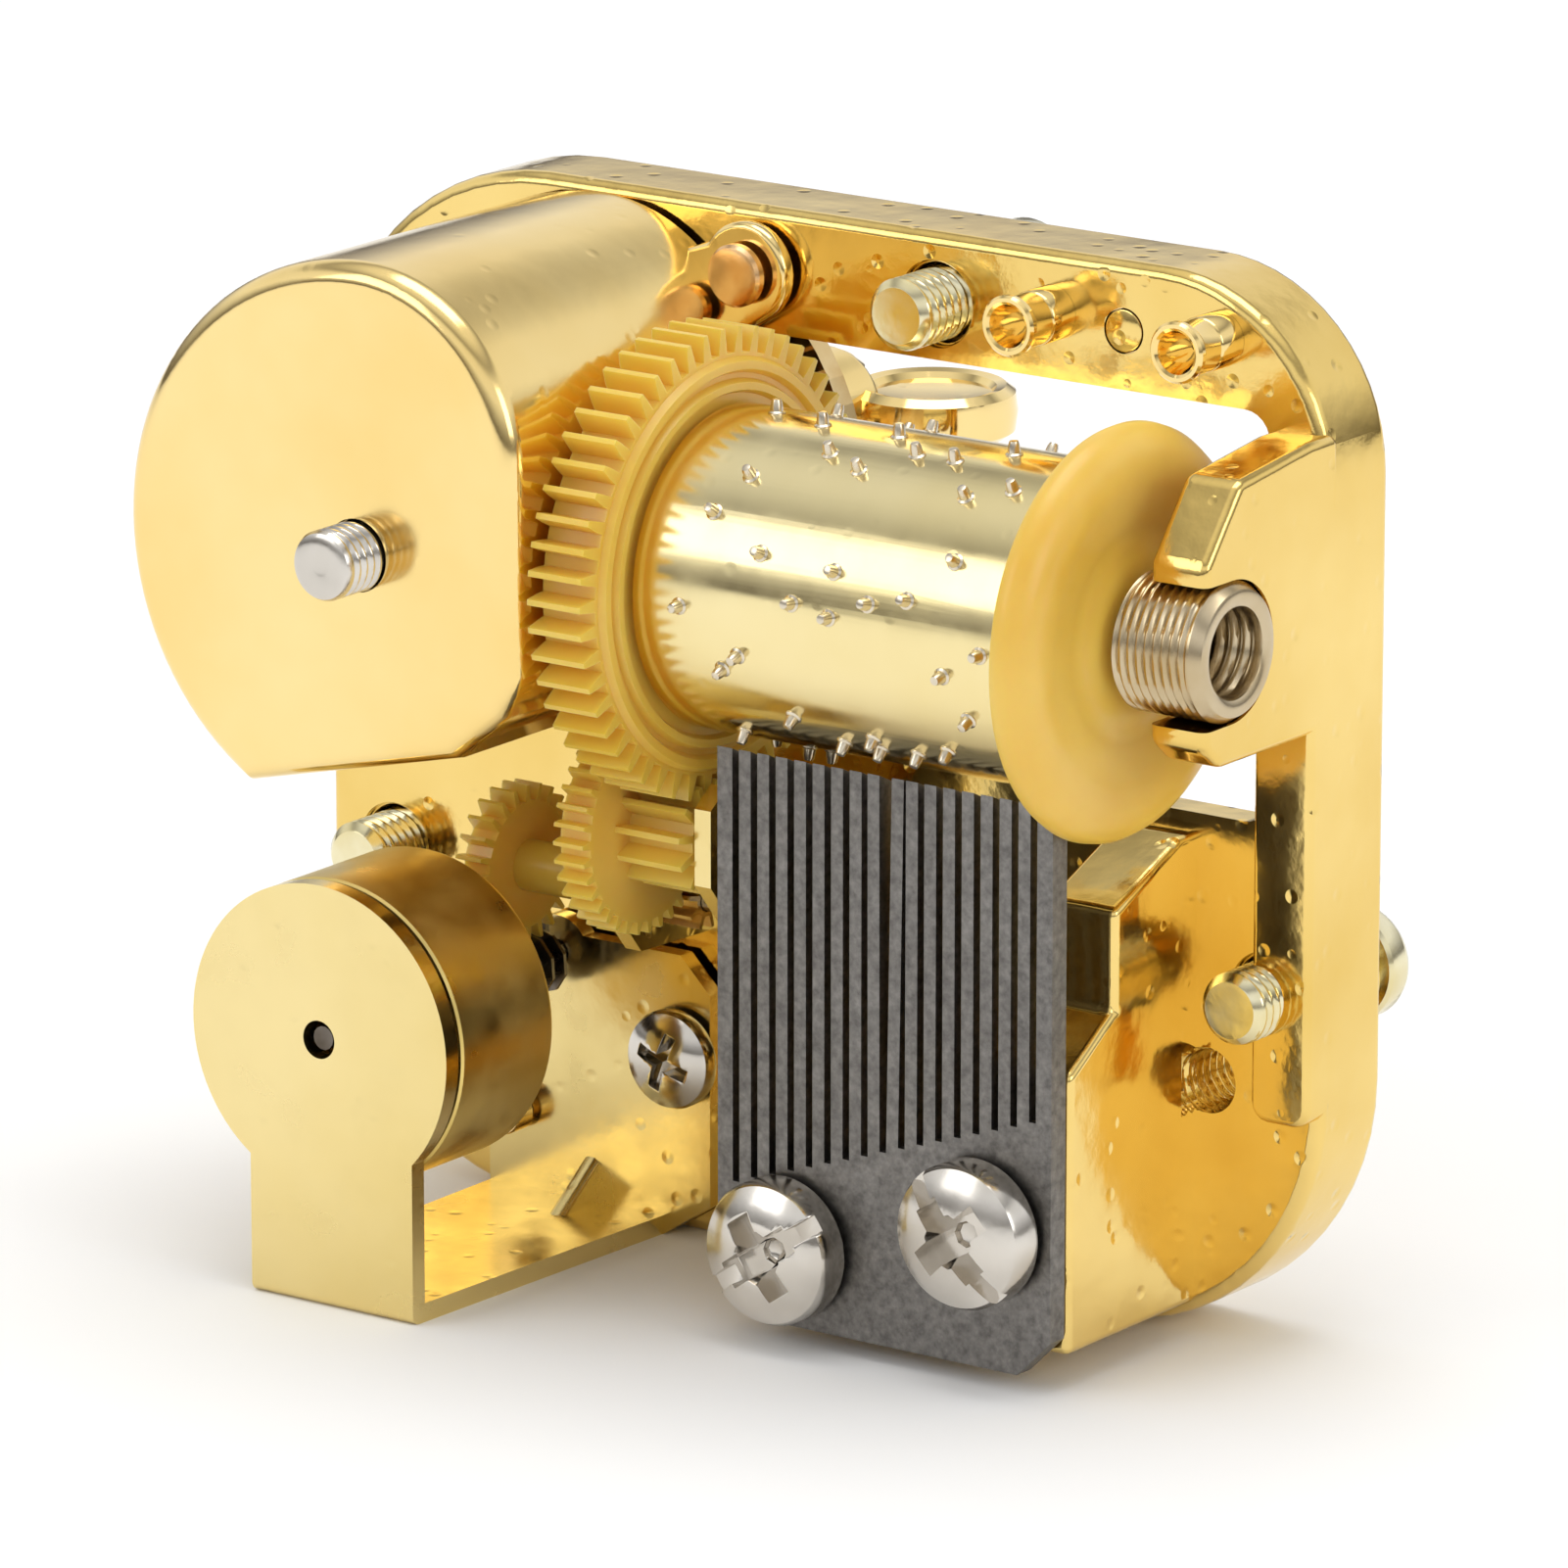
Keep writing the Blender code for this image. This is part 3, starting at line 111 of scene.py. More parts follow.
soft_box("left_box", (-0.35, -0.62, 0.42), 0.42, 0.78)
soft_box("right_box", (0.75, -0.10, 0.30), 0.34, 0.7)
soft_box("top_card", (0.0, 0.05, 0.80), 0.55, 2.3)
studio = bpy.data.worlds.new("studio")
studio.use_nodes = True
bpy.context.scene.world = studio
sky = studio.node_tree.nodes
height = sky.new("ShaderNodeSeparateXYZ")
studio.node_tree.links.new(sky.new("ShaderNodeTexCoord").outputs["Generated"], height.inputs["Vector"])
fall = sky.new("ShaderNodeValToRGB")
HORIZON = (0.02, (0.16, 0.15, 0.14, 1))
WALLS = (0.34, (0.95, 0.96, 0.98, 1))
CEILING_BANDS = ((0.55, 0.9), (0.68, 0.35), (0.86, 0.9))
for stop, (position, colour) in zip(fall.color_ramp.elements, (HORIZON, WALLS)):
    stop.position = position
    stop.color = colour
for position, grey in CEILING_BANDS:
    fall.color_ramp.elements.new(position).color = (grey, grey, grey, 1)
studio.node_tree.links.new(height.outputs["Z"], fall.inputs["Fac"])
studio.node_tree.links.new(fall.outputs["Color"], sky["Background"].inputs["Color"])
sky["Background"].inputs["Strength"].default_value = 1.0


# Bedplate: zinc die-cast in one shell, then bright gold plated. The plating is a mirror over the casting's
# own skin, so its pits, flow lines and small blisters all show.
AXIS_TURN = {
    "X": Matrix(((0, 0, 1), (1, 0, 0), (0, 1, 0))),
    "Y": Matrix(((1, 0, 0), (0, 0, 1), (0, 1, 0))),
    "Z": Matrix.Identity(3),
}


def arc(centre, radius, start, end, steps):
    """Points on an arc, with its angles in degrees."""
    angles = [radians(start + (end - start) * step / steps) for step in range(steps + 1)]
    return [(centre[0] + radius * cos(angle), centre[1] + radius * sin(angle)) for angle in angles]


def rounded(x, z, radii, steps=14):
    """A rectangle whose corners, from lower left round to upper left, have these radii."""
    corners = (
        (x[0], z[0], 1, 1, 180), (x[1], z[0], -1, 1, 270), (x[1], z[1], -1, -1, 0), (x[0], z[1], 1, -1, 90),
    )
    points = []
    for (u, v, du, dv, start), radius in zip(corners, radii):
        points += arc((u + du * radius, v + dv * radius), radius, start, start + 90, steps)
    return points


def bevelled(shape, width, segments=3, sharper_than=30, which=None):
    """Round the edges that turn by more than an angle, or those that a test picks."""
    shape.normal_update()
    least = radians(sharper_than)
    sharp = [edge for edge in shape.edges if len(edge.link_faces) == 2 and edge.calc_face_angle() > least]
    chosen = [edge for edge in sharp if which is None or which(edge)]
    bmesh.ops.bevel(
        shape, geom=chosen, offset=width, offset_type="OFFSET", segments=segments, profile=0.5,
        affect="EDGES", clamp_overlap=True, material=-1,
    )
    return shape


def prism(outline, start, end, axis="Y", bevel=0.0, segments=3):
    """A flat outline extruded along an axis: its points are (X, Z) for Y, (Y, Z) for X and (X, Y) for Z."""
    shape = bmesh.new()
    turn = AXIS_TURN[axis]
    face = shape.faces.new([shape.verts.new(turn @ Vector((u, v, start))) for u, v in outline])
    made = bmesh.ops.extrude_face_region(shape, geom=[face])
    far_end = [item for item in made["geom"] if isinstance(item, bmesh.types.BMVert)]
    bmesh.ops.translate(shape, verts=far_end, vec=turn @ Vector((0, 0, end - start)))
    bmesh.ops.recalc_face_normals(shape, faces=shape.faces)
    return bevelled(shape, bevel, segments) if bevel else shape


def turned(profile, axis="Y", segments=64, place=(0, 0, 0)):
    """A closed profile of (radius, distance along the axis) points, spun into a solid."""
    shape = bmesh.new()
    turn = AXIS_TURN[axis]
    rail = [shape.verts.new(turn @ Vector((radius, 0, along))) for radius, along in profile]
    edges = [shape.edges.new(pair) for pair in zip(rail, rail[1:])]
    if profile[0][0] > 0 or profile[-1][0] > 0:
        edges.append(shape.edges.new((rail[-1], rail[0])))
    bmesh.ops.spin(
        shape, geom=rail + edges, cent=(0, 0, 0), axis=turn @ Vector((0, 0, 1)),
        angle=2 * pi, steps=segments, use_merge=True,
    )
    bmesh.ops.remove_doubles(shape, verts=shape.verts, dist=1e-4)
    bmesh.ops.dissolve_degenerate(shape, edges=shape.edges, dist=1e-5)
    bmesh.ops.recalc_face_normals(shape, faces=shape.faces)
    bmesh.ops.translate(shape, verts=shape.verts, vec=place)
    return shape


def rod(radius, start, end, axis="Y", segments=48, place=(0, 0, 0), edge=0.0):
    """A round bar, with rounded ends where an edge is given."""
    profile = [(0, start), (radius - edge, start)]
    if edge:
        profile += [(radius - edge * 0.3, start + edge * 0.3), (radius, start + edge), (radius, end - edge)]
        profile += [(radius - edge * 0.3, end - edge * 0.3)]
        profile += [(radius - edge, end), (0, end)]
    else:
        profile += [(radius, end), (0, end)]
    return turned(profile, axis, segments, place)


def block(middle, size):
    """A box about its middle."""
    shape = bmesh.new()
    bmesh.ops.create_cube(shape, size=1.0, matrix=Matrix.Translation(middle) @ Matrix.Diagonal((*size, 1)))
    return shape


def worked(shape, tool, operation):
    """The Boolean of two shapes. Both are used up."""
    pair = []
    for part in (shape, tool):
        mesh = bpy.data.meshes.new("part")
        part.to_mesh(mesh)
        part.free()
        thing = bpy.data.objects.new("part", mesh)
        bpy.context.collection.objects.link(thing)
        pair.append(thing)
    step = pair[0].modifiers.new("step", "BOOLEAN")
    step.operation = operation
    step.object = pair[1]
    step.solver = "MANIFOLD"
    result = bmesh.new()
    result.from_object(pair[0], bpy.context.evaluated_depsgraph_get())
    for thing in pair:
        mesh = thing.data
        bpy.data.objects.remove(thing)
        bpy.data.meshes.remove(mesh)
    return result


def fused(shape, *tools):
    """The shape with each tool joined on."""
    for tool in tools:
        shape = worked(shape, tool, "UNION")
    return shape


def carved(shape, *tools):
    """The shape with each tool cut away."""
    for tool in tools:
        shape = worked(shape, tool, "DIFFERENCE")
    return shape


def finished(name, shape, material, body, nodes, smooth=32):
    """Give a shape its name, finish and body, and hide the CAD nodes it stands for."""
    bmesh.ops.remove_doubles(shape, verts=shape.verts, dist=1e-4)
    bmesh.ops.scale(shape, vec=(MM, MM, MM), verts=shape.verts)
    mesh = bpy.data.meshes.new(name)
    shape.to_mesh(mesh)
    shape.free()
    mesh.shade_smooth()
    mesh.set_sharp_from_angle(angle=radians(smooth))
    piece = bpy.data.objects.new(name, mesh)
    bpy.context.collection.objects.link(piece)
    piece.data.materials.append(material)
    even = piece.modifiers.new("even_normals", "WEIGHTED_NORMAL")
    even.keep_sharp = True
    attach(piece, body)
    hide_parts(*nodes)
    return piece


class Finish:
    """A Principled material with its node helpers."""

    def __init__(self, name, colour, metallic, roughness):
        self.material = bpy.data.materials.new(name)
        self.material.use_nodes = True
        self.nodes = self.material.node_tree.nodes
        self.links = self.material.node_tree.links
        self.shader = self.nodes["Principled BSDF"]
        self.coordinates = self.nodes.new("ShaderNodeTexCoord")
        self.height = None
        self.set("Base Color", (*colour, 1))
        self.set("Metallic", metallic)
        self.set("Roughness", roughness)

    def set(self, socket, value):
        self.shader.inputs[socket].default_value = value

    def noise(self, scale, detail=3, roughness=0.5, stretch=(1, 1, 1)):
        """Noise on object coordinates; the scale is in features a metre."""
        mapping = self.nodes.new("ShaderNodeMapping")
        mapping.inputs["Scale"].default_value = stretch
        self.links.new(self.coordinates.outputs["Object"], mapping.inputs["Vector"])
        texture = self.nodes.new("ShaderNodeTexNoise")
        texture.inputs["Scale"].default_value = scale
        texture.inputs["Detail"].default_value = detail
        texture.inputs["Roughness"].default_value = roughness
        self.links.new(mapping.outputs["Vector"], texture.inputs["Vector"])
        return texture.outputs["Fac"]

    def cells(self, scale):
        """Distance to scattered points on object coordinates."""
        texture = self.nodes.new("ShaderNodeTexVoronoi")
        texture.inputs["Scale"].default_value = scale
        self.links.new(self.coordinates.outputs["Object"], texture.inputs["Vector"])
        return texture.outputs["Distance"]

    def ramp(self, source, stops):
        """A colour ramp with stops of (position, colour)."""
        ramp = self.nodes.new("ShaderNodeValToRGB")
        while len(ramp.color_ramp.elements) < len(stops):
            ramp.color_ramp.elements.new(0.5)
        for element, (position, colour) in zip(ramp.color_ramp.elements, stops):
            element.position = position
            element.color = (*colour, 1)
        self.links.new(source, ramp.inputs["Fac"])
        return ramp.outputs["Color"]

    def spread(self, source, low, high, low_in=0.3, high_in=0.7):
        """Map a texture's middle range to a range of values."""
        span_node = self.nodes.new("ShaderNodeMapRange")
        ends = {"From Min": low_in, "From Max": high_in, "To Min": low, "To Max": high}
        for socket, value in ends.items():
            span_node.inputs[socket].default_value = value
        self.links.new(source, span_node.inputs["Value"])
        return span_node.outputs["Result"]

    def into(self, source, socket):
        self.links.new(source, self.shader.inputs[socket])

    def mottle(self, scale, detail, dark, light, start=0.3, end=0.7):
        """Base colour that wanders between two colours."""
        stops = ((start, dark), (end, light))
        self.into(self.ramp(self.noise(scale, detail), stops), "Base Color")

    def polish(self, scale, detail, low, high):
        """Roughness that wanders between two values."""
        self.into(self.spread(self.noise(scale, detail), low, high), "Roughness")

    def bump(self, source, depth):
        """Relief of this depth in millimetres, added to what is there."""
        node = self.nodes.new("ShaderNodeBump")
        node.inputs["Distance"].default_value = depth * MM
        node.inputs["Strength"].default_value = 1.0
        self.links.new(source, node.inputs["Height"])
        if self.height:
            self.links.new(self.height, node.inputs["Normal"])
        self.height = node.outputs["Normal"]
        self.links.new(self.height, self.shader.inputs["Normal"])


def gold(name, ripple, pits, roughness, deep=(0.90, 0.65, 0.24), light=(0.95, 0.74, 0.34)):
    """Bright gold plating: ripple and pits are the depths of its relief, in millimetres."""
    finish = Finish(name, (0.92, 0.70, 0.30), 1.0, roughness)
    finish.mottle(90, 4, deep, light)
    finish.polish(400, 5, roughness * 0.7, roughness * 1.5)
    finish.bump(finish.noise(160, 3), ripple)
    if pits:
        finish.bump(finish.spread(finish.cells(700), 0, 1, 0.06, 0.22), pits)
        finish.bump(finish.noise(1800, 3), pits * 0.25)
    return finish.material


cast_gold = gold("cast gold plate", 0.16, 0.035, 0.12, (0.80, 0.55, 0.15), (0.91, 0.68, 0.25))
RIM_WALL = 1.4
SKIN = 1.5
CORNERS = (11.0, 11.0, 8.0, 11.5)
plate_back = plate_y[1]
outer = rounded(plate_x, plate_z, CORNERS)
body_shape = prism(outer, plate_front, plate_back, bevel=0.55, segments=4)
inset = [radius - RIM_WALL for radius in CORNERS]
inner = rounded(
    (plate_x[0] + RIM_WALL, plate_x[1] - RIM_WALL), (plate_z[0] + RIM_WALL, plate_z[1] - RIM_WALL), inset,
)
body_shape = carved(body_shape, prism(inner, plate_front + SKIN, plate_back + 1))


def screw_place(node):
    """Where a fixing's axis crosses Y = 0, from the middle of its box."""
    x, _, z = span(node)
    return ((x[0] + x[1]) / 2, 0, (z[0] + z[1]) / 2)


SCREWS = ("mounting_screw_top", "mounting_screw_right", "mounting_screw_left")
BOSS_RADIUS = 2.45
boss_back = plate_back - 0.1
for node in SCREWS:
    body_shape = fused(body_shape, rod(BOSS_RADIUS, plate_front + 0.3, boss_back, place=screw_place(node)))
comb_x, comb_y, comb_z = span("comb")
COMB_GAP = 0.3
PILLAR_WIDTH = 3.4
PILLAR_FOOT = 1.5
PILLAR_TOP = 21.2
HEEL_TOP = 8.5
SHELF_REACH = 5.8
root = plate_front + SKIN / 2
pillar_front = comb_y[1] + COMB_GAP
shelf = plate_front - SHELF_REACH
pillar_side = [
    (root, PILLAR_FOOT), (pillar_front, PILLAR_FOOT), (pillar_front, 13.1), (shelf, 15.1), (shelf, 19.2),
    (plate_front - 1.1, PILLAR_TOP), (root, PILLAR_TOP),
]
heel_side = [(root, PILLAR_FOOT), (pillar_front, PILLAR_FOOT), (pillar_front, HEEL_TOP), (root, HEEL_TOP)]
body_shape = fused(
    body_shape,
    prism(pillar_side, comb_x[1] - PILLAR_WIDTH, comb_x[1], "X", 0.35),
    prism(heel_side, comb_x[0] + 0.4, comb_x[1] - PILLAR_WIDTH + 0.4, "X", 0.3),
)
bush_x, bush_y, bush_z = span("bearing_bush")
bush_middle = (0, (bush_y[0] + bush_y[1]) / 2, (bush_z[0] + bush_z[1]) / 2)
bush_radius = (bush_z[1] - bush_z[0]) / 2
FORK_REACH = 8.6
FORK_THICKNESS = 2.7
FORK_FOOT = 26.3
FORK_TOP = 38.2
BUSH_GAP = 0.05
SIDE_RAIL = 2.8
TOP_RAIL = 5.2
WINDOW_FOOT = 22.0
fork_front = plate_front - FORK_REACH
rail_left = plate_x[1] - SIDE_RAIL
fork_side = [
    (root, FORK_FOOT), (fork_front + 1.2, FORK_FOOT), (fork_front, 27.3), (fork_front, 34.6),
    (fork_front + 2.4, 37.6), (plate_front - 1.2, FORK_TOP), (root, FORK_TOP),
]
side_rail = rounded((rail_left, plate_x[1]), (10.0, plate_z[1] - 8.0), (0.8, 0.8, 0.8, 0.8), 4)
body_shape = fused(
    body_shape,
    prism(fork_side, plate_x[1] - FORK_THICKNESS, plate_x[1], "X", 0.4),
    prism(side_rail, plate_front - 1.0, root, "Y", 0.3),
)
slot_middle = (plate_x[1] - 1, bush_middle[1] - FORK_REACH / 2, bush_middle[2])
body_shape = carved(
    body_shape,
    block(slot_middle, (6, FORK_REACH, 2 * (bush_radius + BUSH_GAP))),
    rod(bush_radius + BUSH_GAP, plate_x[1] - 4, plate_x[1] + 1, "X", 64, bush_middle),
)
gear_x, gear_y, gear_z = span("cylinder_gear")
window = rounded((gear_x[0] - 0.6, rail_left), (WINDOW_FOOT, plate_z[1] - TOP_RAIL), (2.0, 1.0, 1.2, 1.2), 6)
body_shape = carved(body_shape, prism(window, plate_front - 0.2, plate_back + 1))
threaded_hole = (19.5, 0, 10.9)
body_shape = fused(body_shape, rod(BOSS_RADIUS, plate_front + 0.2, boss_back, place=threaded_hole, edge=0.2))


def threaded(shape, axis, middle, root, crest, pitch, along):
    """Push a lathe-turned wall in and out as a helical thread between two places along its axis."""
    lead_in = pitch * 0.6
    for vert in shape.verts:
        offset = vert.co - Vector(middle)
        forward = offset.x if axis == "X" else offset.y
        if not along[0] < forward < along[1]:
            continue
        across = (offset.y, offset.z) if axis == "X" else (offset.z, offset.x)
        radius = hypot(*across)
        if radius < min(root, crest) * 0.9 or radius > max(root, crest) * 1.1:
            continue
        phase = (forward / pitch - atan2(across[1], across[0]) / (2 * pi)) % 1.0
        rise = 1 - abs(2 * phase - 1)
        fade = min(1.0, (forward - along[0]) / lead_in, (along[1] - forward) / lead_in)
        wanted = crest + (root - crest) * (1 - min(1.0, rise * 1.3)) * max(0.4, fade)
        scale = wanted / radius
        if axis == "X":
            vert.co.y = middle[1] + offset.y * scale
            vert.co.z = middle[2] + offset.z * scale
        else:
            vert.co.x = middle[0] + offset.x * scale
            vert.co.z = middle[2] + offset.z * scale
    return shape


def rows(radius, start, end, pitch, a_pitch=8):
    """Profile points close enough together to carry a thread."""
    count = max(2, round(abs(end - start) / pitch * a_pitch))
    return [(radius, start + (end - start) * step / count) for step in range(count + 1)]


M3_PITCH = 0.5
HOLE_RADIUS = 1.45
SCREW_HOLE = 1.6
COUNTERSINK = 2.2
ARBOR_GAP = 0.06
COMB_SCREW_HOLE = 1.36
tap = [(0, plate_front - 1)]
tap += rows(HOLE_RADIUS, plate_front - 1, plate_back + 1, M3_PITCH)
tap += [(0, plate_back + 1)]
tapped = threaded(
    turned(tap, segments=40, place=threaded_hole), "Y", threaded_hole, HOLE_RADIUS - 0.16, HOLE_RADIUS,
    M3_PITCH, (plate_front - 0.9, plate_back + 0.9),
)
body_shape = carved(body_shape, tapped)
for node in SCREWS:
    sunk = turned([
        (0, plate_front - 0.5), (COUNTERSINK, plate_front - 0.5), (SCREW_HOLE + 0.12, plate_front + 0.12),
        (SCREW_HOLE, plate_front + 0.5), (SCREW_HOLE, plate_back + 1), (0, plate_back + 1),
    ], place=screw_place(node))
    body_shape = carved(body_shape, sunk)
arbor_x, arbor_y, arbor_z = span("winding_arbor")
arbor_middle = ((arbor_x[0] + arbor_x[1]) / 2, 0, (arbor_z[0] + arbor_z[1]) / 2)
arbor_hole = (arbor_x[1] - arbor_x[0]) / 2 + ARBOR_GAP
body_shape = carved(body_shape, rod(arbor_hole, plate_front - 1, plate_back, place=arbor_middle))
PLATE_HOLES = {
    "hollow_post_left": 0.96, "hollow_post_right": 0.96, "rail_plug": 0.94, "housing_rivet_upper": 0.86,
    "housing_rivet_lower": 0.86, "bracket_screw": 1.06, "bracket_stud": 0.66,
}
for node, radius in PLATE_HOLES.items():
    hole = rod(radius, plate_front - 1, plate_front + SKIN + 1, place=screw_place(node))
    body_shape = carved(body_shape, hole)
for node in ("comb_screw_left", "comb_screw_right"):
    deepest = span(node)[1][1] + 0.3
    body_shape = carved(body_shape, rod(COMB_SCREW_HOLE, pillar_front - 1, deepest, place=screw_place(node)))
finished("bedplate_casting", body_shape, cast_gold, "frame", ("bedplate",))


# Mounting screws: three M3 machine screws with a pale yellow plating, threaded in from behind through the
# rim's bosses. Their flat tips stand ahead of the plate.
def blade(middle, face, tilt, size):
    """A cutter of (length, depth, width) for a screw's recess, centred on its face and tilted."""
    shape = bmesh.new()
    turn = Matrix.Translation((middle[0], face, middle[2])) @ Matrix.Rotation(radians(tilt), 4, "Y")
    bmesh.ops.create_cube(shape, size=1.0, matrix=turn @ Matrix.Diagonal((*size, 1)))
    return shape


M3_RADIUS = 1.5
M3_ROOT = 1.2
HEAD_RADIUS = 2.4
HEAD_DEPTH = 2.0
screw_plate = Finish("pale yellow plate", (0.84, 0.76, 0.48), 1.0, 0.16)
screw_plate.mottle(500, 4, (0.76, 0.66, 0.36), (0.88, 0.82, 0.58))
screw_plate.polish(700, 4, 0.1, 0.26)
screw_plate.bump(screw_plate.noise(1400, 3), 0.008)
for node in SCREWS:
    middle = screw_place(node)
    tip, top = span(node)[1]
    bearing = top - HEAD_DEPTH
    profile = [(0, tip + 0.05), (0.9, tip + 0.03), (1.16, tip), (1.22, tip + 0.04), (1.44, tip + 0.26)]
    profile += rows(M3_RADIUS, tip + 0.32, bearing - 0.1, M3_PITCH)
    profile += [(1.45, bearing), (2.25, bearing), (HEAD_RADIUS, bearing + 0.15), (HEAD_RADIUS, bearing + 1.1)]
    dome = [pi / 10 * step for step in range(1, 5)]
    profile += [(HEAD_RADIUS * cos(angle), bearing + 1.1 + 0.9 * sin(angle)) for angle in dome]
    profile += [(0, top)]
    shape = turned(profile, segments=48, place=middle)
    threaded(shape, "Y", middle, M3_ROOT, M3_RADIUS, M3_PITCH, (tip + 0.3, bearing - 0.15))
    shape = carved(shape, *(blade(middle, top, tilt, (2.6, 2.0, 0.62)) for tilt in (20, 110)))
    finished(f"{node}_threaded", shape, screw_plate.material, "frame", (node,))


# Rail fittings: two hollow turned posts with flared mouths and a fine seam, pressed into the top rail, and
# one plug staked flush beside them. All are gold plated.
bright_gold = gold("bright gold plate", 0.015, 0.006, 0.09)
for node in ("hollow_post_left", "hollow_post_right"):
    middle = screw_place(node)
    mouth = span(node)[1][0]
    seam = (mouth + plate_front) / 2 + 0.1
    tail = plate_front + SKIN
    seat = plate_front - 0.01
    profile = [
        (0.2, mouth + 1.5), (0.42, mouth + 1.3), (0.66, mouth + 0.9),
        (0.76, mouth + 0.4), (0.88, mouth + 0.08),
        (1.0, mouth), (1.15, mouth), (1.25, mouth + 0.12), (1.24, mouth + 0.34), (1.12, mouth + 0.5),
        (1.09, mouth + 0.6), (1.09, seam - 0.05), (1.03, seam), (1.09, seam + 0.05), (1.13, seam + 0.12),
        (1.13, seat), (0.9, seat), (0.9, tail), (0.2, tail),
    ]
    finished(f"{node}_flared", turned(profile, place=middle), bright_gold, "frame", (node,))
plug_middle = screw_place("rail_plug")
finished(
    "rail_plug_staked", rod(0.88, plate_front - 0.03, plate_front + SKIN, place=plug_middle, edge=0.08),
    cast_gold, "frame", ("rail_plug",),
)


# Spring housing: a cup deep-drawn from thin sheet, with one flat side against the gear and a rolled flange
# that ends in two ears. The draw leaves its front edge well rounded, and the plating is very smooth.
drawn_gold = gold("drawn gold plate", 0.03, 0.006, 0.12)
rivet_copper = Finish("copper flash", (0.86, 0.52, 0.25), 1.0, 0.24)
rivet_copper.mottle(700, 4, (0.78, 0.45, 0.18), (0.92, 0.62, 0.34))
rivet_copper.bump(rivet_copper.noise(900, 3), 0.02)
house_x, house_y, house_z = span("spring_housing")
HOUSING_RADIUS = 11.9
HOUSING_FLAT = 7.8
HOUSING_WALL = 0.6
FLANGE = 0.8
EAR_RADIUS = 2.1
RIVET_HOLE = 0.86
cup_front, cup_back = house_y


def housing_outline(inset):
    """The cup's outline about its arbor, drawn in by the inset."""
    radius = HOUSING_RADIUS - inset
    flat = HOUSING_FLAT - inset
    start = degrees(asin((HOUSING_RADIUS * 0.62 - inset * 0.4) / radius))
    points = arc((0, HOUSING_RADIUS - HOUSING_FLAT), flat, 0, 90, 18)
    points += arc((0, 0), radius, 93, 180 + start + 22, 44)
    foot = [(4.7 - inset * 0.2, -7.8 + inset), (7.0 - inset, -5.8 + inset * 0.6), (flat, -4.0 + inset * 0.3)]
    return [(x + arbor_middle[0], z + arbor_middle[2]) for x, z in points + foot]


cup = prism(housing_outline(0), cup_front, cup_back)
bevelled(cup, 0.9, 5, 40, lambda edge: all(abs(vert.co.y - cup_front) < 0.01 for vert in edge.verts))
hollow = prism(housing_outline(HOUSING_WALL), cup_front + HOUSING_WALL, cup_back + 1)
upper_rivet = screw_place("housing_rivet_upper")
lower_rivet = screw_place("housing_rivet_lower")
upper_ear = arc((upper_rivet[0], upper_rivet[2]), EAR_RADIUS, -60, 150, 20)
upper_ear += [(upper_rivet[0] - 6.0, upper_rivet[2] - 0.4), (upper_rivet[0] - 4.0, upper_rivet[2] - 5.0)]
lower_ear = arc((lower_rivet[0], lower_rivet[2]), EAR_RADIUS, 130, 330, 20)
lower_ear += [(lower_rivet[0] + 5.0, lower_rivet[2] + 4.4), (lower_rivet[0] + 2.5, lower_rivet[2] + 6.0)]
cup = fused(
    cup,
    prism(upper_ear, cup_back - FLANGE, cup_back, bevel=0.25),
    prism(lower_ear, cup_back - FLANGE, cup_back, bevel=0.25),
)
cylinder_middle = (0, bush_middle[1], bush_middle[2])
spring_y = span("mainspring")[1]
slot_middle = (arbor_middle[0] - 10, (spring_y[0] + spring_y[1]) / 2, arbor_middle[2] - 5.4)
flat_x = arbor_middle[0] + HOUSING_FLAT
cup = carved(
    cup, hollow,
    rod(1.51, cup_front - 1, cup_front + 2, place=arbor_middle),
    rod(0.96, flat_x - 2, flat_x + 1, "X", 32, cylinder_middle),
    rod(RIVET_HOLE, cup_back - 2, cup_back + 1, place=upper_rivet),
    rod(RIVET_HOLE, cup_back - 2, cup_back + 1, place=lower_rivet),
    block(slot_middle, (6, spring_y[1] - spring_y[0] + 0.6, 1.2)),
)
finished("spring_housing_drawn", cup, drawn_gold, "frame", ("spring_housing",))
for node, middle in (("housing_rivet_upper", upper_rivet), ("housing_rivet_lower", lower_rivet)):
    top = span(node)[1][0]
    profile = [(0, top), (0.95, top), (1.18, top + 0.06), (1.3, top + 0.2)]
    profile += [(1.3, top + 0.5), (0.8, top + 0.5)]
    profile += [(0.8, plate_front + SKIN), (0, plate_front + SKIN)]
    finished(f"{node}_set", turned(profile, place=middle), rivet_copper.material, "frame", (node,))


# Comb: one plate of hardened steel with its tines sawn apart, ground across its face and left dark. One
# tine has been set over, so that its tip leans on the next and leaves a wedge of a gap behind it.
comb_steel = Finish("dark comb steel", (0.20, 0.20, 0.205), 1.0, 0.42)
grain = comb_steel.noise(2600, 4, 0.65)
cloud = comb_steel.noise(180, 4)
GRAIN_SHADES = ((0.32, (0.14, 0.132, 0.124)), (0.72, (0.27, 0.257, 0.24)))
comb_steel.into(comb_steel.ramp(grain, GRAIN_SHADES), "Base Color")
comb_steel.into(comb_steel.spread(cloud, 0.34, 0.5), "Roughness")
comb_steel.bump(grain, 0.012)
comb_steel.bump(comb_steel.noise(600, 3, 0.5, (0.12, 1, 3)), 0.012)
TINES = 18
SLOT_WIDTH = 0.32
pitch = (comb_x[1] - comb_x[0]) / TINES
SLOT_END_LEFT = 6.4
SLOT_END_RIGHT = 11.4
TIP_DROP = 0.48
COMB_CORNER = 1.6
tip_top = comb_z[1]
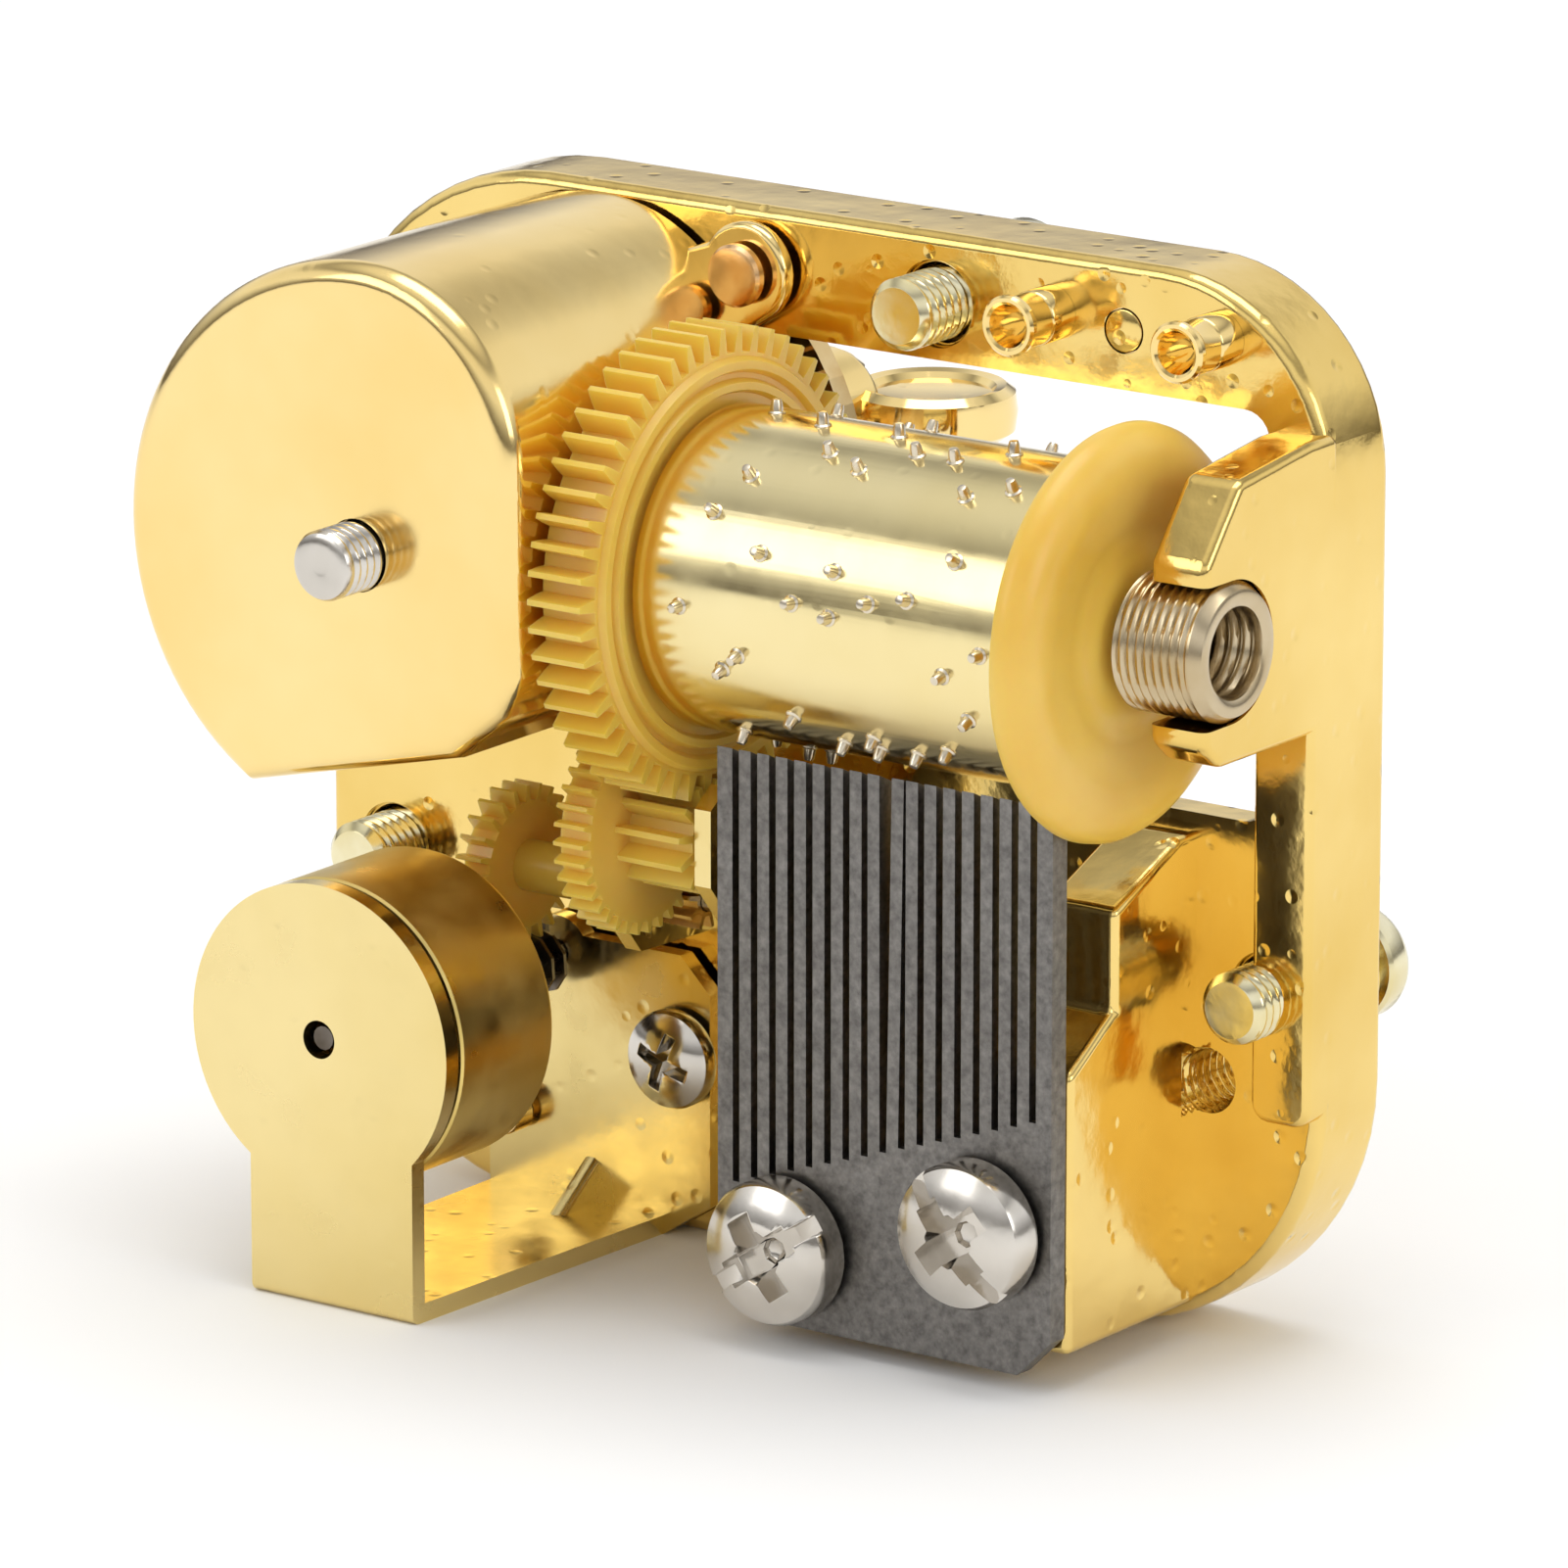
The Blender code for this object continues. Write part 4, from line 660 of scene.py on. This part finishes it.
comb_side = [(comb_y[0], comb_z[0]), (comb_y[1], comb_z[0]), (comb_y[1], tip_top - TIP_DROP)]
comb_side += [(comb_y[0], tip_top)]
plate = prism(comb_side, comb_x[0], comb_x[1], "X")
wedges = []
for edge_x, inwards in ((comb_x[0], 1), (comb_x[1], -1)):
    bottom = comb_z[0]
    wedge = [(edge_x - inwards, bottom - 1), (edge_x + inwards * (COMB_CORNER + 1), bottom - 1)]
    wedge += [(edge_x - inwards, bottom + COMB_CORNER + 1)]
    wedges.append(prism(wedge, comb_y[0] - 1, comb_y[1] + 1))
plate = carved(plate, *wedges)
slots = bmesh.new()
slot_ends = [
    SLOT_END_LEFT + (SLOT_END_RIGHT - SLOT_END_LEFT) * (gap - 1) / (TINES - 2) for gap in range(1, TINES)
]
for gap, lower in zip(range(1, TINES), slot_ends):
    middle = comb_x[0] + gap * pitch
    height = tip_top + 1 - lower
    place = Matrix.Translation((middle, (comb_y[0] + comb_y[1]) / 2, lower + height / 2))
    bmesh.ops.create_cube(slots, size=1.0, matrix=place @ Matrix.Diagonal((SLOT_WIDTH, 3, height, 1)))
plate = carved(plate, slots)
for node in ("comb_screw_left", "comb_screw_right"):
    plate = carved(plate, rod(1.4, comb_y[0] - 1, comb_y[1] + 1, place=screw_place(node)))
bevelled(plate, 0.05, 2, 50)
LEANS = {8: -0.04, 9: 0.24, 10: 0.02}
for vert in plate.verts:
    tine = int((vert.co.x - comb_x[0]) // pitch)
    lean = LEANS.get(tine, 0)
    foot = slot_ends[min(tine, len(slot_ends) - 1)]
    if lean and vert.co.z > foot + 0.3:
        vert.co.x += lean * ((vert.co.z - foot) / (tip_top - foot)) ** 1.6
finished("comb_sawn", plate, comb_steel.material, "frame", ("comb",))


# Comb screws: steel with domed nickel-plated heads, whose recess is a cross with one arm run right across
# as a slot. They clamp the comb to its pillar.
nickel = Finish("bright nickel", (0.66, 0.62, 0.56), 1.0, 0.16)
nickel.polish(500, 4, 0.1, 0.26)
nickel.mottle(260, 4, (0.56, 0.52, 0.46), (0.74, 0.70, 0.64))
nickel.bump(nickel.noise(1100, 3), 0.008)
DOME_SHARES = (0.3, 0.5, 0.65, 0.78, 0.88, 0.95)
COMB_HEAD = 3.0
COMB_HEAD_DEPTH = 2.1
COMB_SHANK = 1.3
SLOT = (7.0, 2.0, 0.72)
CROSS = (3.6, 2.7, 1.15)
for node, tilt in (("comb_screw_left", -35), ("comb_screw_right", 48)):
    middle = screw_place(node)
    crown, end = span(node)[1]
    seat = crown + COMB_HEAD_DEPTH
    profile = [(0, crown)]
    profile += [(COMB_HEAD * share, crown + 0.75 * share ** 2.6) for share in DOME_SHARES]
    profile += [(COMB_HEAD, crown + 0.95), (COMB_HEAD, seat - 0.1), (COMB_HEAD - 0.1, seat)]
    profile += [(COMB_SHANK, seat), (COMB_SHANK, end), (0, end)]
    shape = turned(profile, segments=72, place=middle)
    point = [(0, crown - 0.2), (1.25, crown - 0.2), (0.45, crown + 1.6), (0, crown + 1.7)]
    shape = carved(
        shape, blade(middle, crown, tilt, SLOT), blade(middle, crown, tilt, CROSS),
        blade(middle, crown, tilt + 90, CROSS), turned(point, segments=8, place=middle),
    )
    bevelled(shape, 0.05, 2, 40)
    finished(f"{node}_domed", shape, nickel.material, "frame", (node,))


# Bracket fixings: a small domed nickel screw with a plain cross recess, and the brass locating stud beside
# it, its end turned to a shallow cup.
BRACKET_HEAD_DEPTH = 1.2
BRACKET_SHANK = 1.0
head_x, (crown, end), _ = span("bracket_screw")
middle = screw_place("bracket_screw")
head_radius = (head_x[1] - head_x[0]) / 2
seat = crown + BRACKET_HEAD_DEPTH
profile = [(0, crown)]
profile += [(head_radius * share, crown + 0.6 * share ** 2.4) for share in DOME_SHARES]
profile += [(head_radius, crown + 0.75), (head_radius, seat - 0.05), (head_radius - 0.08, seat)]
profile += [(BRACKET_SHANK, seat), (BRACKET_SHANK, end), (0, end)]
shape = turned(profile, segments=64, place=middle)
shape = carved(shape, *(blade(middle, crown, tilt, (2.5, 1.5, 0.55)) for tilt in (20, 110)))
bevelled(shape, 0.04, 2, 40)
finished("bracket_screw_domed", shape, nickel.material, "frame", ("bracket_screw",))
stud_brass = Finish("stud brass", (0.80, 0.60, 0.28), 1.0, 0.2)
stud_brass.polish(700, 4, 0.14, 0.3)
STUD_HEAD_DEPTH = 1.0
STUD_SHANK = 0.6
stud_x, (crown, end), _ = span("bracket_stud")
stud_radius = (stud_x[1] - stud_x[0]) / 2
seat = crown + STUD_HEAD_DEPTH
profile = [
    (0, crown + 0.22), (stud_radius - 0.35, crown + 0.18), (stud_radius - 0.2, crown),
    (stud_radius - 0.06, crown),
    (stud_radius, crown + 0.08), (stud_radius, seat), (STUD_SHANK, seat), (STUD_SHANK, end), (0, end),
]
finished(
    "bracket_stud_turned", turned(profile, segments=64, place=screw_place("bracket_stud")),
    stud_brass.material,
    "frame", ("bracket_stud",),
)


# Bearing bush: turned from brass and thinly nickelled, with a fine outside thread and a coarser one in its
# bore. It is staked between the fork's jaws and carries the cylinder's right end.
bush_brass = Finish("nickelled brass", (0.80, 0.70, 0.50), 1.0, 0.24)
bush_brass.mottle(300, 4, (0.50, 0.38, 0.21), (0.68, 0.58, 0.41), end=0.75)
BUSH_PITCH = 0.4
BUSH_BORE = 1.8
BORE_PITCH = 0.6
left, right = bush_x
profile = rows(BUSH_BORE, right - 0.35, left, BORE_PITCH)
profile += [(bush_radius - 0.25, left)] + rows(bush_radius, left + 0.15, right - 0.5, BUSH_PITCH)
profile += [(bush_radius - 0.12, right - 0.35), (bush_radius - 0.3, right - 0.05)]
profile += [(bush_radius - 0.42, right)]
profile += [(BUSH_BORE + 0.28, right), (BUSH_BORE + 0.08, right - 0.12)]
shape = turned(profile, "X", 72, cylinder_middle)
threaded(shape, "X", cylinder_middle, bush_radius - 0.17, bush_radius, BUSH_PITCH, (left + 0.1, right - 0.6))
threaded(shape, "X", cylinder_middle, BUSH_BORE + 0.14, BUSH_BORE, BORE_PITCH, (left + 0.1, right - 0.4))
finished("bearing_bush_threaded", shape, bush_brass.material, "frame", ("bearing_bush",))


# Cylinder: a seamless brass sleeve, gold plated, with a steel pin for every note driven through its wall.
# Each pin is ground to one height and has a small burr round its root.
sleeve_gold = gold("sleeve gold plate", 0.02, 0.004, 0.15, (0.84, 0.69, 0.33), (0.91, 0.78, 0.44))
pin_steel = Finish("pin steel", (0.72, 0.64, 0.50), 1.0, 0.22)
pin_steel.polish(900, 2, 0.16, 0.3)
sleeve_x, sleeve_y, sleeve_z = span("cylinder_sleeve")
SLEEVE_RADIUS = 6.6
SLEEVE_WALL = 0.5
PIN_HEIGHT = 0.6
SLEEVE_BREAK = 0.05
left, right = sleeve_x
bore = SLEEVE_RADIUS - SLEEVE_WALL
profile = [
    (bore, left), (SLEEVE_RADIUS - SLEEVE_BREAK, left), (SLEEVE_RADIUS, left + SLEEVE_BREAK),
    (SLEEVE_RADIUS, right - SLEEVE_BREAK), (SLEEVE_RADIUS - SLEEVE_BREAK, right), (bore, right),
]
sleeve = turned(profile, "X", 160, cylinder_middle)
PINS_A_TRACK = 4
GOLDEN_STEP = 0.61803
PIN_PROFILE = [
    (0, SLEEVE_RADIUS - 0.2), (0.38, SLEEVE_RADIUS - 0.2),
    (0.36, SLEEVE_RADIUS + 0.04), (0.27, SLEEVE_RADIUS + 0.1),
    (0.23, SLEEVE_RADIUS + 0.42), (0.18, SLEEVE_RADIUS + 0.56), (0, SLEEVE_RADIUS + PIN_HEIGHT),
]
all_pins = bmesh.new()
for tine in range(TINES - 1):
    track = comb_x[0] + (tine + 0.5) * pitch
    for beat in range(PINS_A_TRACK):
        share = ((tine * GOLDEN_STEP + beat * (1 + GOLDEN_STEP * tine / TINES)) / PINS_A_TRACK) % 1.0
        swing = Matrix.Translation(cylinder_middle) @ Matrix.Rotation(2 * pi * share, 4, "X")
        place = swing @ Matrix.Translation((track, 0, 0))
        pin = turned(PIN_PROFILE, "Z", 14)
        bmesh.ops.transform(pin, matrix=place, verts=pin.verts)
        mesh = bpy.data.meshes.new("pin")
        pin.to_mesh(mesh)
        pin.free()
        all_pins.from_mesh(mesh)
        bpy.data.meshes.remove(mesh)
sleeve = fused(sleeve, all_pins)
JUST_PROUD = 0.015
for face in sleeve.faces:
    centre = face.calc_center_median()
    if hypot(centre.y - cylinder_middle[1], centre.z - cylinder_middle[2]) > SLEEVE_RADIUS + JUST_PROUD:
        face.material_index = 1
piece = finished(
    "cylinder_sleeve_pinned", sleeve, sleeve_gold, "cylinder", ("cylinder_sleeve",)
)
piece.data.materials.append(pin_steel.material)


# Cylinder gear: moulded yellow acetal, its rim teeth cut back on the housing side, with two raised rings on
# the face beside the sleeve.
def acetal(name, deep, light):
    """Translucent yellow moulding: deep and light are its two colours."""
    finish = Finish(name, deep, 0.0, 0.34)
    finish.mottle(110, 4, deep, light)
    finish.set("Subsurface Weight", 0.45)
    finish.set("Subsurface Radius", (1.0, 0.62, 0.18))
    finish.set("Subsurface Scale", 0.0022)
    finish.set("Coat Weight", 0.12)
    finish.set("Coat Roughness", 0.25)
    finish.polish(500, 3, 0.28, 0.42)
    finish.bump(finish.noise(350, 3), 0.03)
    return finish.material


gear_acetal = acetal("gear acetal", (0.72, 0.43, 0.045), (0.84, 0.57, 0.11))
gear_tip = (gear_z[1] - gear_z[0]) / 2


def gear_outline(teeth, root, tip, root_share, tip_share, phase=0.0):
    """Teeth with slightly full flanks round a circle, about the origin."""
    points = []
    step = 2 * pi / teeth
    middle_radius = (root + tip) / 2
    middle_share = (root_share + tip_share) / 2 * 1.06
    walk = ((-1, root, root_share), (-1, middle_radius, middle_share), (-1, tip, tip_share))
    walk += ((1, tip, tip_share), (1, middle_radius, middle_share), (1, root, root_share))
    for tooth in range(teeth):
        for side, radius, share in walk:
            angle = (tooth + phase) * step + side * share * step / 2
            points.append((radius * cos(angle), radius * sin(angle)))
    return points


def moved(shape, place):
    """The same shape, carried from the origin to its place."""
    bmesh.ops.translate(shape, verts=shape.verts, vec=place)
    return shape


GEAR_TEETH = 52
GEAR_WIDTH = 2.6
GEAR_TOOTH = 1.05
RING_RISE = 0.28
RINGS = ((8.1, 0.34), (7.25, 0.3))
ARBOR_BORE = 0.96
gear_right = gear_x[0] + GEAR_WIDTH
outline = gear_outline(GEAR_TEETH, gear_tip - GEAR_TOOTH, gear_tip, 0.5, 0.2)
gear = moved(prism(outline, gear_x[0], gear_right, "X"), cylinder_middle)
hub_radius = SLEEVE_RADIUS - SLEEVE_WALL - 0.05
rings = []
for radius, half in RINGS:
    crest = gear_right + RING_RISE
    rings.append(turned([
        (radius - half, gear_right - 0.3), (radius - half, gear_right), (radius - half * 0.5, crest),
        (radius + half * 0.5, crest), (radius + half, gear_right), (radius + half, gear_right - 0.3),
    ], "X", 96, cylinder_middle))
gear = fused(gear, rod(hub_radius, gear_right - 0.5, gear_x[1], "X", 96, cylinder_middle), *rings)
gear = carved(gear, rod(ARBOR_BORE, gear_x[0] - 1, gear_x[1] + 1, "X", 32, cylinder_middle))
finished("cylinder_gear_moulded", gear, gear_acetal, "cylinder", ("cylinder_gear",), 40)


# End cap: a dished flange with a rounded rim, moulded in the same yellow acetal as the gear and pressed
# into the sleeve's right end.
cap_x, cap_y, cap_z = span("cylinder_cap")
cap_radius = (cap_z[1] - cap_z[0]) / 2
CAP_THICKNESS = 1.7
CAP_BORE = 0.95
plug_left, cap_right = cap_x
cap_left = cap_right - CAP_THICKNESS
profile = [(CAP_BORE, plug_left), (hub_radius, plug_left), (hub_radius, cap_left)]
profile += [(cap_radius - 0.5, cap_left), (cap_radius - 0.14, cap_left + 0.1), (cap_radius, cap_left + 0.4)]
profile += [(cap_radius - 0.05, cap_left + 0.8), (cap_radius - 0.3, cap_left + 1.2)]
profile += [(cap_radius - 0.8, cap_left + 1.55), (cap_radius - 1.5, cap_right)]
profile += [(cap_radius - 2.4, cap_right - 0.12), (4.4, cap_right - 0.42), (3.6, cap_right - 0.3)]
profile += [(3.3, cap_right - 0.12), (CAP_BORE, cap_right - 0.1)]
finished(
    "cylinder_cap_moulded", turned(profile, "X", 128, cylinder_middle), gear_acetal, "cylinder",
    ("cylinder_cap",), 40,
)


# Winding arbor: turned steel, nickelled, with a grooved nose that shows in front of the housing and a
# threaded tail that takes the key.
NOSE_RADIUS = 1.45
NOSE_PITCH = 0.45
ARBOR_RADIUS = 1.9
TAIL_FLATTEN = 0.3
front, tail = arbor_y
shoulder = cup_front + HOUSING_WALL + 0.3
seat = plate_back - 0.05
profile = [(0, front + 0.12), (0.35, front + 0.04), (1.1, front), (1.35, front + 0.12)]
profile += [(NOSE_RADIUS, front + 0.3)]
profile += rows(NOSE_RADIUS, front + 0.4, cup_front - 0.1, NOSE_PITCH)
profile += [(NOSE_RADIUS, shoulder), (ARBOR_RADIUS, shoulder), (ARBOR_RADIUS, seat)]
profile += rows(M3_RADIUS, seat, tail - TAIL_FLATTEN, M3_PITCH, 6) + [(M3_ROOT, tail), (0, tail)]
shape = turned(profile, segments=56, place=arbor_middle)
threaded(shape, "Y", arbor_middle, 1.24, NOSE_RADIUS, NOSE_PITCH, (front + 0.35, cup_front - 0.05))
threaded(shape, "Y", arbor_middle, 1.26, M3_RADIUS, M3_PITCH, (plate_back + 0.1, tail - TAIL_FLATTEN))
finished("winding_arbor_turned", shape, nickel.material, "winding_train", ("winding_arbor",))


# Winding key: a gold-plated tube with two dished round wings, screwed on the arbor's tail behind the plate,
# where it stands clear of the case.
key_x, key_y, key_z = span("winding_key")
KEY_LENGTH = 8.2
KEY_TUBE = 2.6
KEY_BORE = 1.56
LOBE = 3.6
lobe_out = (key_x[1] - key_x[0]) / 2 - LOBE
lobe_y = key_y[0] + KEY_LENGTH + 1.6
key = rod(KEY_TUBE, key_y[0], key_y[0] + KEY_LENGTH, place=arbor_middle, edge=0.5)
under = [(0, -0.6), (1.4, -0.62), (LOBE - 1.1, -0.75), (LOBE - 0.9, -1.0)]
under += [(LOBE - 0.5, -1.1), (LOBE - 0.1, -0.8)]
profile = under + [(LOBE, 0)] + [(radius, -height) for radius, height in under[::-1]]
for side in (-1, 1):
    lobe = turned(profile, "Z", 64, (arbor_middle[0] + side * lobe_out, lobe_y, arbor_middle[2]))
    key = fused(key, lobe)
key = carved(key, rod(KEY_BORE, key_y[0] - 1, tail + 0.5, place=arbor_middle))
finished("winding_key_pressed", key, bright_gold, "winding_train", ("winding_key",))


# Governor: a bracket bent twice from gold-plated sheet and screwed to the plate, with a satin turned can on
# its front leg, over the friction weights. The worm shaft runs between the two legs.
sheet_gold = gold("sheet gold plate", 0.05, 0.02, 0.2, (0.79, 0.62, 0.25), (0.87, 0.71, 0.34))
satin_gold = gold("satin gold plate", 0.02, 0.006, 0.36, (0.76, 0.56, 0.16), (0.84, 0.66, 0.26))
can_x, can_y, can_z = span("governor_can")
shaft_x, shaft_y, shaft_z = span("governor_shaft")
shaft_middle = ((shaft_x[0] + shaft_x[1]) / 2, 0, (can_z[0] + can_z[1]) / 2)
bracket_x, bracket_y, bracket_z = span("governor_bracket")
SHEET = 0.8
CAN_RADIUS = 6.5
CAN_WALL = 0.6
NECK_LEFT = 3.6
NECK_RIGHT = 4.7
BACK_TOP = 12.2
leg_front, leg_back = bracket_y
leg_middle = leg_front + SHEET / 2
neck_left = shaft_middle[0] - NECK_LEFT
neck_right = shaft_middle[0] + NECK_RIGHT
foot_right = neck_right + 0.7
right_angle = degrees(asin(NECK_RIGHT / CAN_RADIUS))
left_angle = degrees(asin(NECK_LEFT / CAN_RADIUS))
lollipop = arc((shaft_middle[0], shaft_middle[2]), CAN_RADIUS, 270 + right_angle, 630 - left_angle, 72)
lollipop += [(neck_left, 0), (neck_right, 0)]
foot = [(neck_left, leg_middle), (neck_right, leg_middle), (foot_right, leg_back), (neck_left, leg_back)]
back_plate = [
    (neck_left, 0), (foot_right, 0), (bracket_x[1], 1.6), (bracket_x[1], BACK_TOP - 1.5),
    (bracket_x[1] - 1.5, BACK_TOP), (neck_left, BACK_TOP),
]
gusset = [(leg_back - 0.4, 0.4), (leg_back - 3.9, 0.4), (leg_back - 0.4, 3.0)]
bracket = fused(
    prism(lollipop, leg_front, leg_front + SHEET),
    prism(foot, 0, SHEET, "Z"),
    prism(back_plate, leg_back - SHEET, leg_back),
    rod(1.6, leg_back - SHEET, leg_back, place=shaft_middle),
    prism(gusset, neck_right - 3.4, neck_right - 2.6, "X", 0.25),
)
bevelled(bracket, 0.9, 4, 60, lambda edge: all(
    abs(vert.co.y - leg_front) < 0.01 and abs(vert.co.z) < 0.01 for vert in edge.verts
))
bevelled(bracket, 0.06, 2, 50)
bracket = carved(bracket, rod(0.8, leg_front - 1, leg_front + SHEET + 0.2, place=shaft_middle))
BACK_HOLES = ((0.56, shaft_middle), (1.06, screw_place("bracket_screw")), (0.66, screw_place("bracket_stud")))
for radius, place in BACK_HOLES:
    bracket = carved(bracket, rod(radius, leg_back - 2, leg_back + 1, place=place))
finished("governor_bracket_bent", bracket, sheet_gold, "frame", ("governor_bracket",))
mouth, base = can_y
can_hole = shaft_x[1] - shaft_middle[0]
profile = [
    (CAN_RADIUS - 0.25, base), (CAN_RADIUS - 0.06, base - 0.06), (CAN_RADIUS, base - 0.25),
    (CAN_RADIUS, mouth + 0.1), (CAN_RADIUS - 0.1, mouth), (CAN_RADIUS - CAN_WALL, mouth),
    (CAN_RADIUS - CAN_WALL, base - CAN_WALL), (can_hole, base - CAN_WALL), (can_hole, base),
]
finished(
    "governor_can_turned", turned(profile, segments=128, place=shaft_middle),
    satin_gold, "frame",
    ("governor_can",),
)


# Train wheels: moulded in the gear's yellow acetal. The second wheel and its pinion are one moulding, and
# the third is a worm wheel over the governor shaft. Both turn on steel arbors between the bracket's ears.
def mesh_phase(teeth, other_teeth, direction):
    """The phase that puts a gap where the neighbour, which lies in this direction, has a tooth."""
    return direction / (2 * pi) * teeth + 0.5 + (direction + pi) / (2 * pi) * other_teeth


second_x, second_y, second_z = span("second_arbor")
second_middle = (0, (second_y[0] + second_y[1]) / 2, (second_z[0] + second_z[1]) / 2)
third_x, third_y, third_z = span("third_arbor")
third_middle = (0, (third_y[0] + third_y[1]) / 2, (third_z[0] + third_z[1]) / 2)
wheel_x = span("second_wheel")[0]
WHEEL_WIDTH = 1.5
SECOND_TEETH = 36
THIRD_PINION_TEETH = 9
SECOND_PINION_TEETH = 12
PIVOT_BORE = 0.65
reach = hypot(second_middle[1] - third_middle[1], second_middle[2] - third_middle[2])
module = 2 * reach / (SECOND_TEETH + THIRD_PINION_TEETH)
wheel_root = module * (SECOND_TEETH / 2 - 1.3)
wheel_tip = module * (SECOND_TEETH / 2 + 0.85)
outline = gear_outline(SECOND_TEETH, wheel_root, wheel_tip, 0.5, 0.22)
wheel = moved(prism(outline, wheel_x[0], wheel_x[0] + WHEEL_WIDTH, "X"), second_middle)
towards = atan2(cylinder_middle[2] - second_middle[2], cylinder_middle[1] - second_middle[1])
phase = mesh_phase(SECOND_PINION_TEETH, GEAR_TEETH, towards)
outline = gear_outline(SECOND_PINION_TEETH, 1.45, 2.38, 0.42, 0.2, phase)
pinion = moved(prism(outline, wheel_x[0] + WHEEL_WIDTH - 0.3, wheel_x[1], "X"), second_middle)
wheel = carved(fused(wheel, pinion), rod(PIVOT_BORE, wheel_x[0] - 1, wheel_x[1] + 1, "X", 32, second_middle))
finished("second_wheel_moulded", wheel, gear_acetal, "second_wheel_set", ("second_wheel",), 40)
worm_x, worm_y, worm_z = span("third_wheel")
WORM_TEETH = 24
WORM_WHEEL_WIDTH = 1.3
WORM_HUB = 1.08
worm_tip = (worm_y[1] - worm_y[0]) / 2
outline = gear_outline(WORM_TEETH, worm_tip - 0.7, worm_tip, 0.42, 0.18, -WORM_TEETH / 4)
worm_wheel = moved(prism(outline, worm_x[0], worm_x[0] + WORM_WHEEL_WIDTH, "X"), third_middle)
worm_wheel = fused(worm_wheel, rod(WORM_HUB, worm_x[0] + 0.5, worm_x[1], "X", 40, third_middle))
worm_wheel = carved(worm_wheel, rod(PIVOT_BORE, worm_x[0] - 1, worm_x[1] + 1, "X", 32, third_middle))
finished("third_wheel_moulded", worm_wheel, gear_acetal, "third_wheel_set", ("third_wheel",), 40)


# Carried-over pieces: small parts that are mostly hidden inside the works, in steel, brass and plated
# sheet. They keep the frame's own shapes and take a worked finish.
dark_steel = Finish("oiled dark steel", (0.15, 0.13, 0.11), 1.0, 0.3)
dark_steel.polish(900, 4, 0.22, 0.42)
dark_steel.mottle(500, 3, (0.10, 0.08, 0.06), (0.26, 0.23, 0.20))
dark_steel.bump(dark_steel.noise(1500, 2), 0.01)
spring_steel = Finish("grey spring steel", (0.34, 0.34, 0.35), 1.0, 0.3)
spring_steel.polish(700, 4, 0.2, 0.42)
plain_brass = Finish("turned brass", (0.80, 0.60, 0.30), 1.0, 0.26)
plain_brass.mottle(400, 4, (0.70, 0.48, 0.20), (0.86, 0.68, 0.38))
plain_brass.bump(plain_brass.noise(900, 3), 0.01)
CARRIED = {
    "train_bracket": sheet_gold, "mainspring": spring_steel.material, "governor_shaft": dark_steel.material,
    "great_wheel": plain_brass.material, "click_washer": nickel.material, "cylinder_arbor": nickel.material,
    "second_arbor": nickel.material, "third_arbor": nickel.material, "third_pinion": plain_brass.material,
    "friction_weight_upper": plain_brass.material, "friction_weight_lower": plain_brass.material,
}
for node, material in CARRIED.items():
    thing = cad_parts[node]
    thing.data.materials.clear()
    thing.data.materials.append(material)
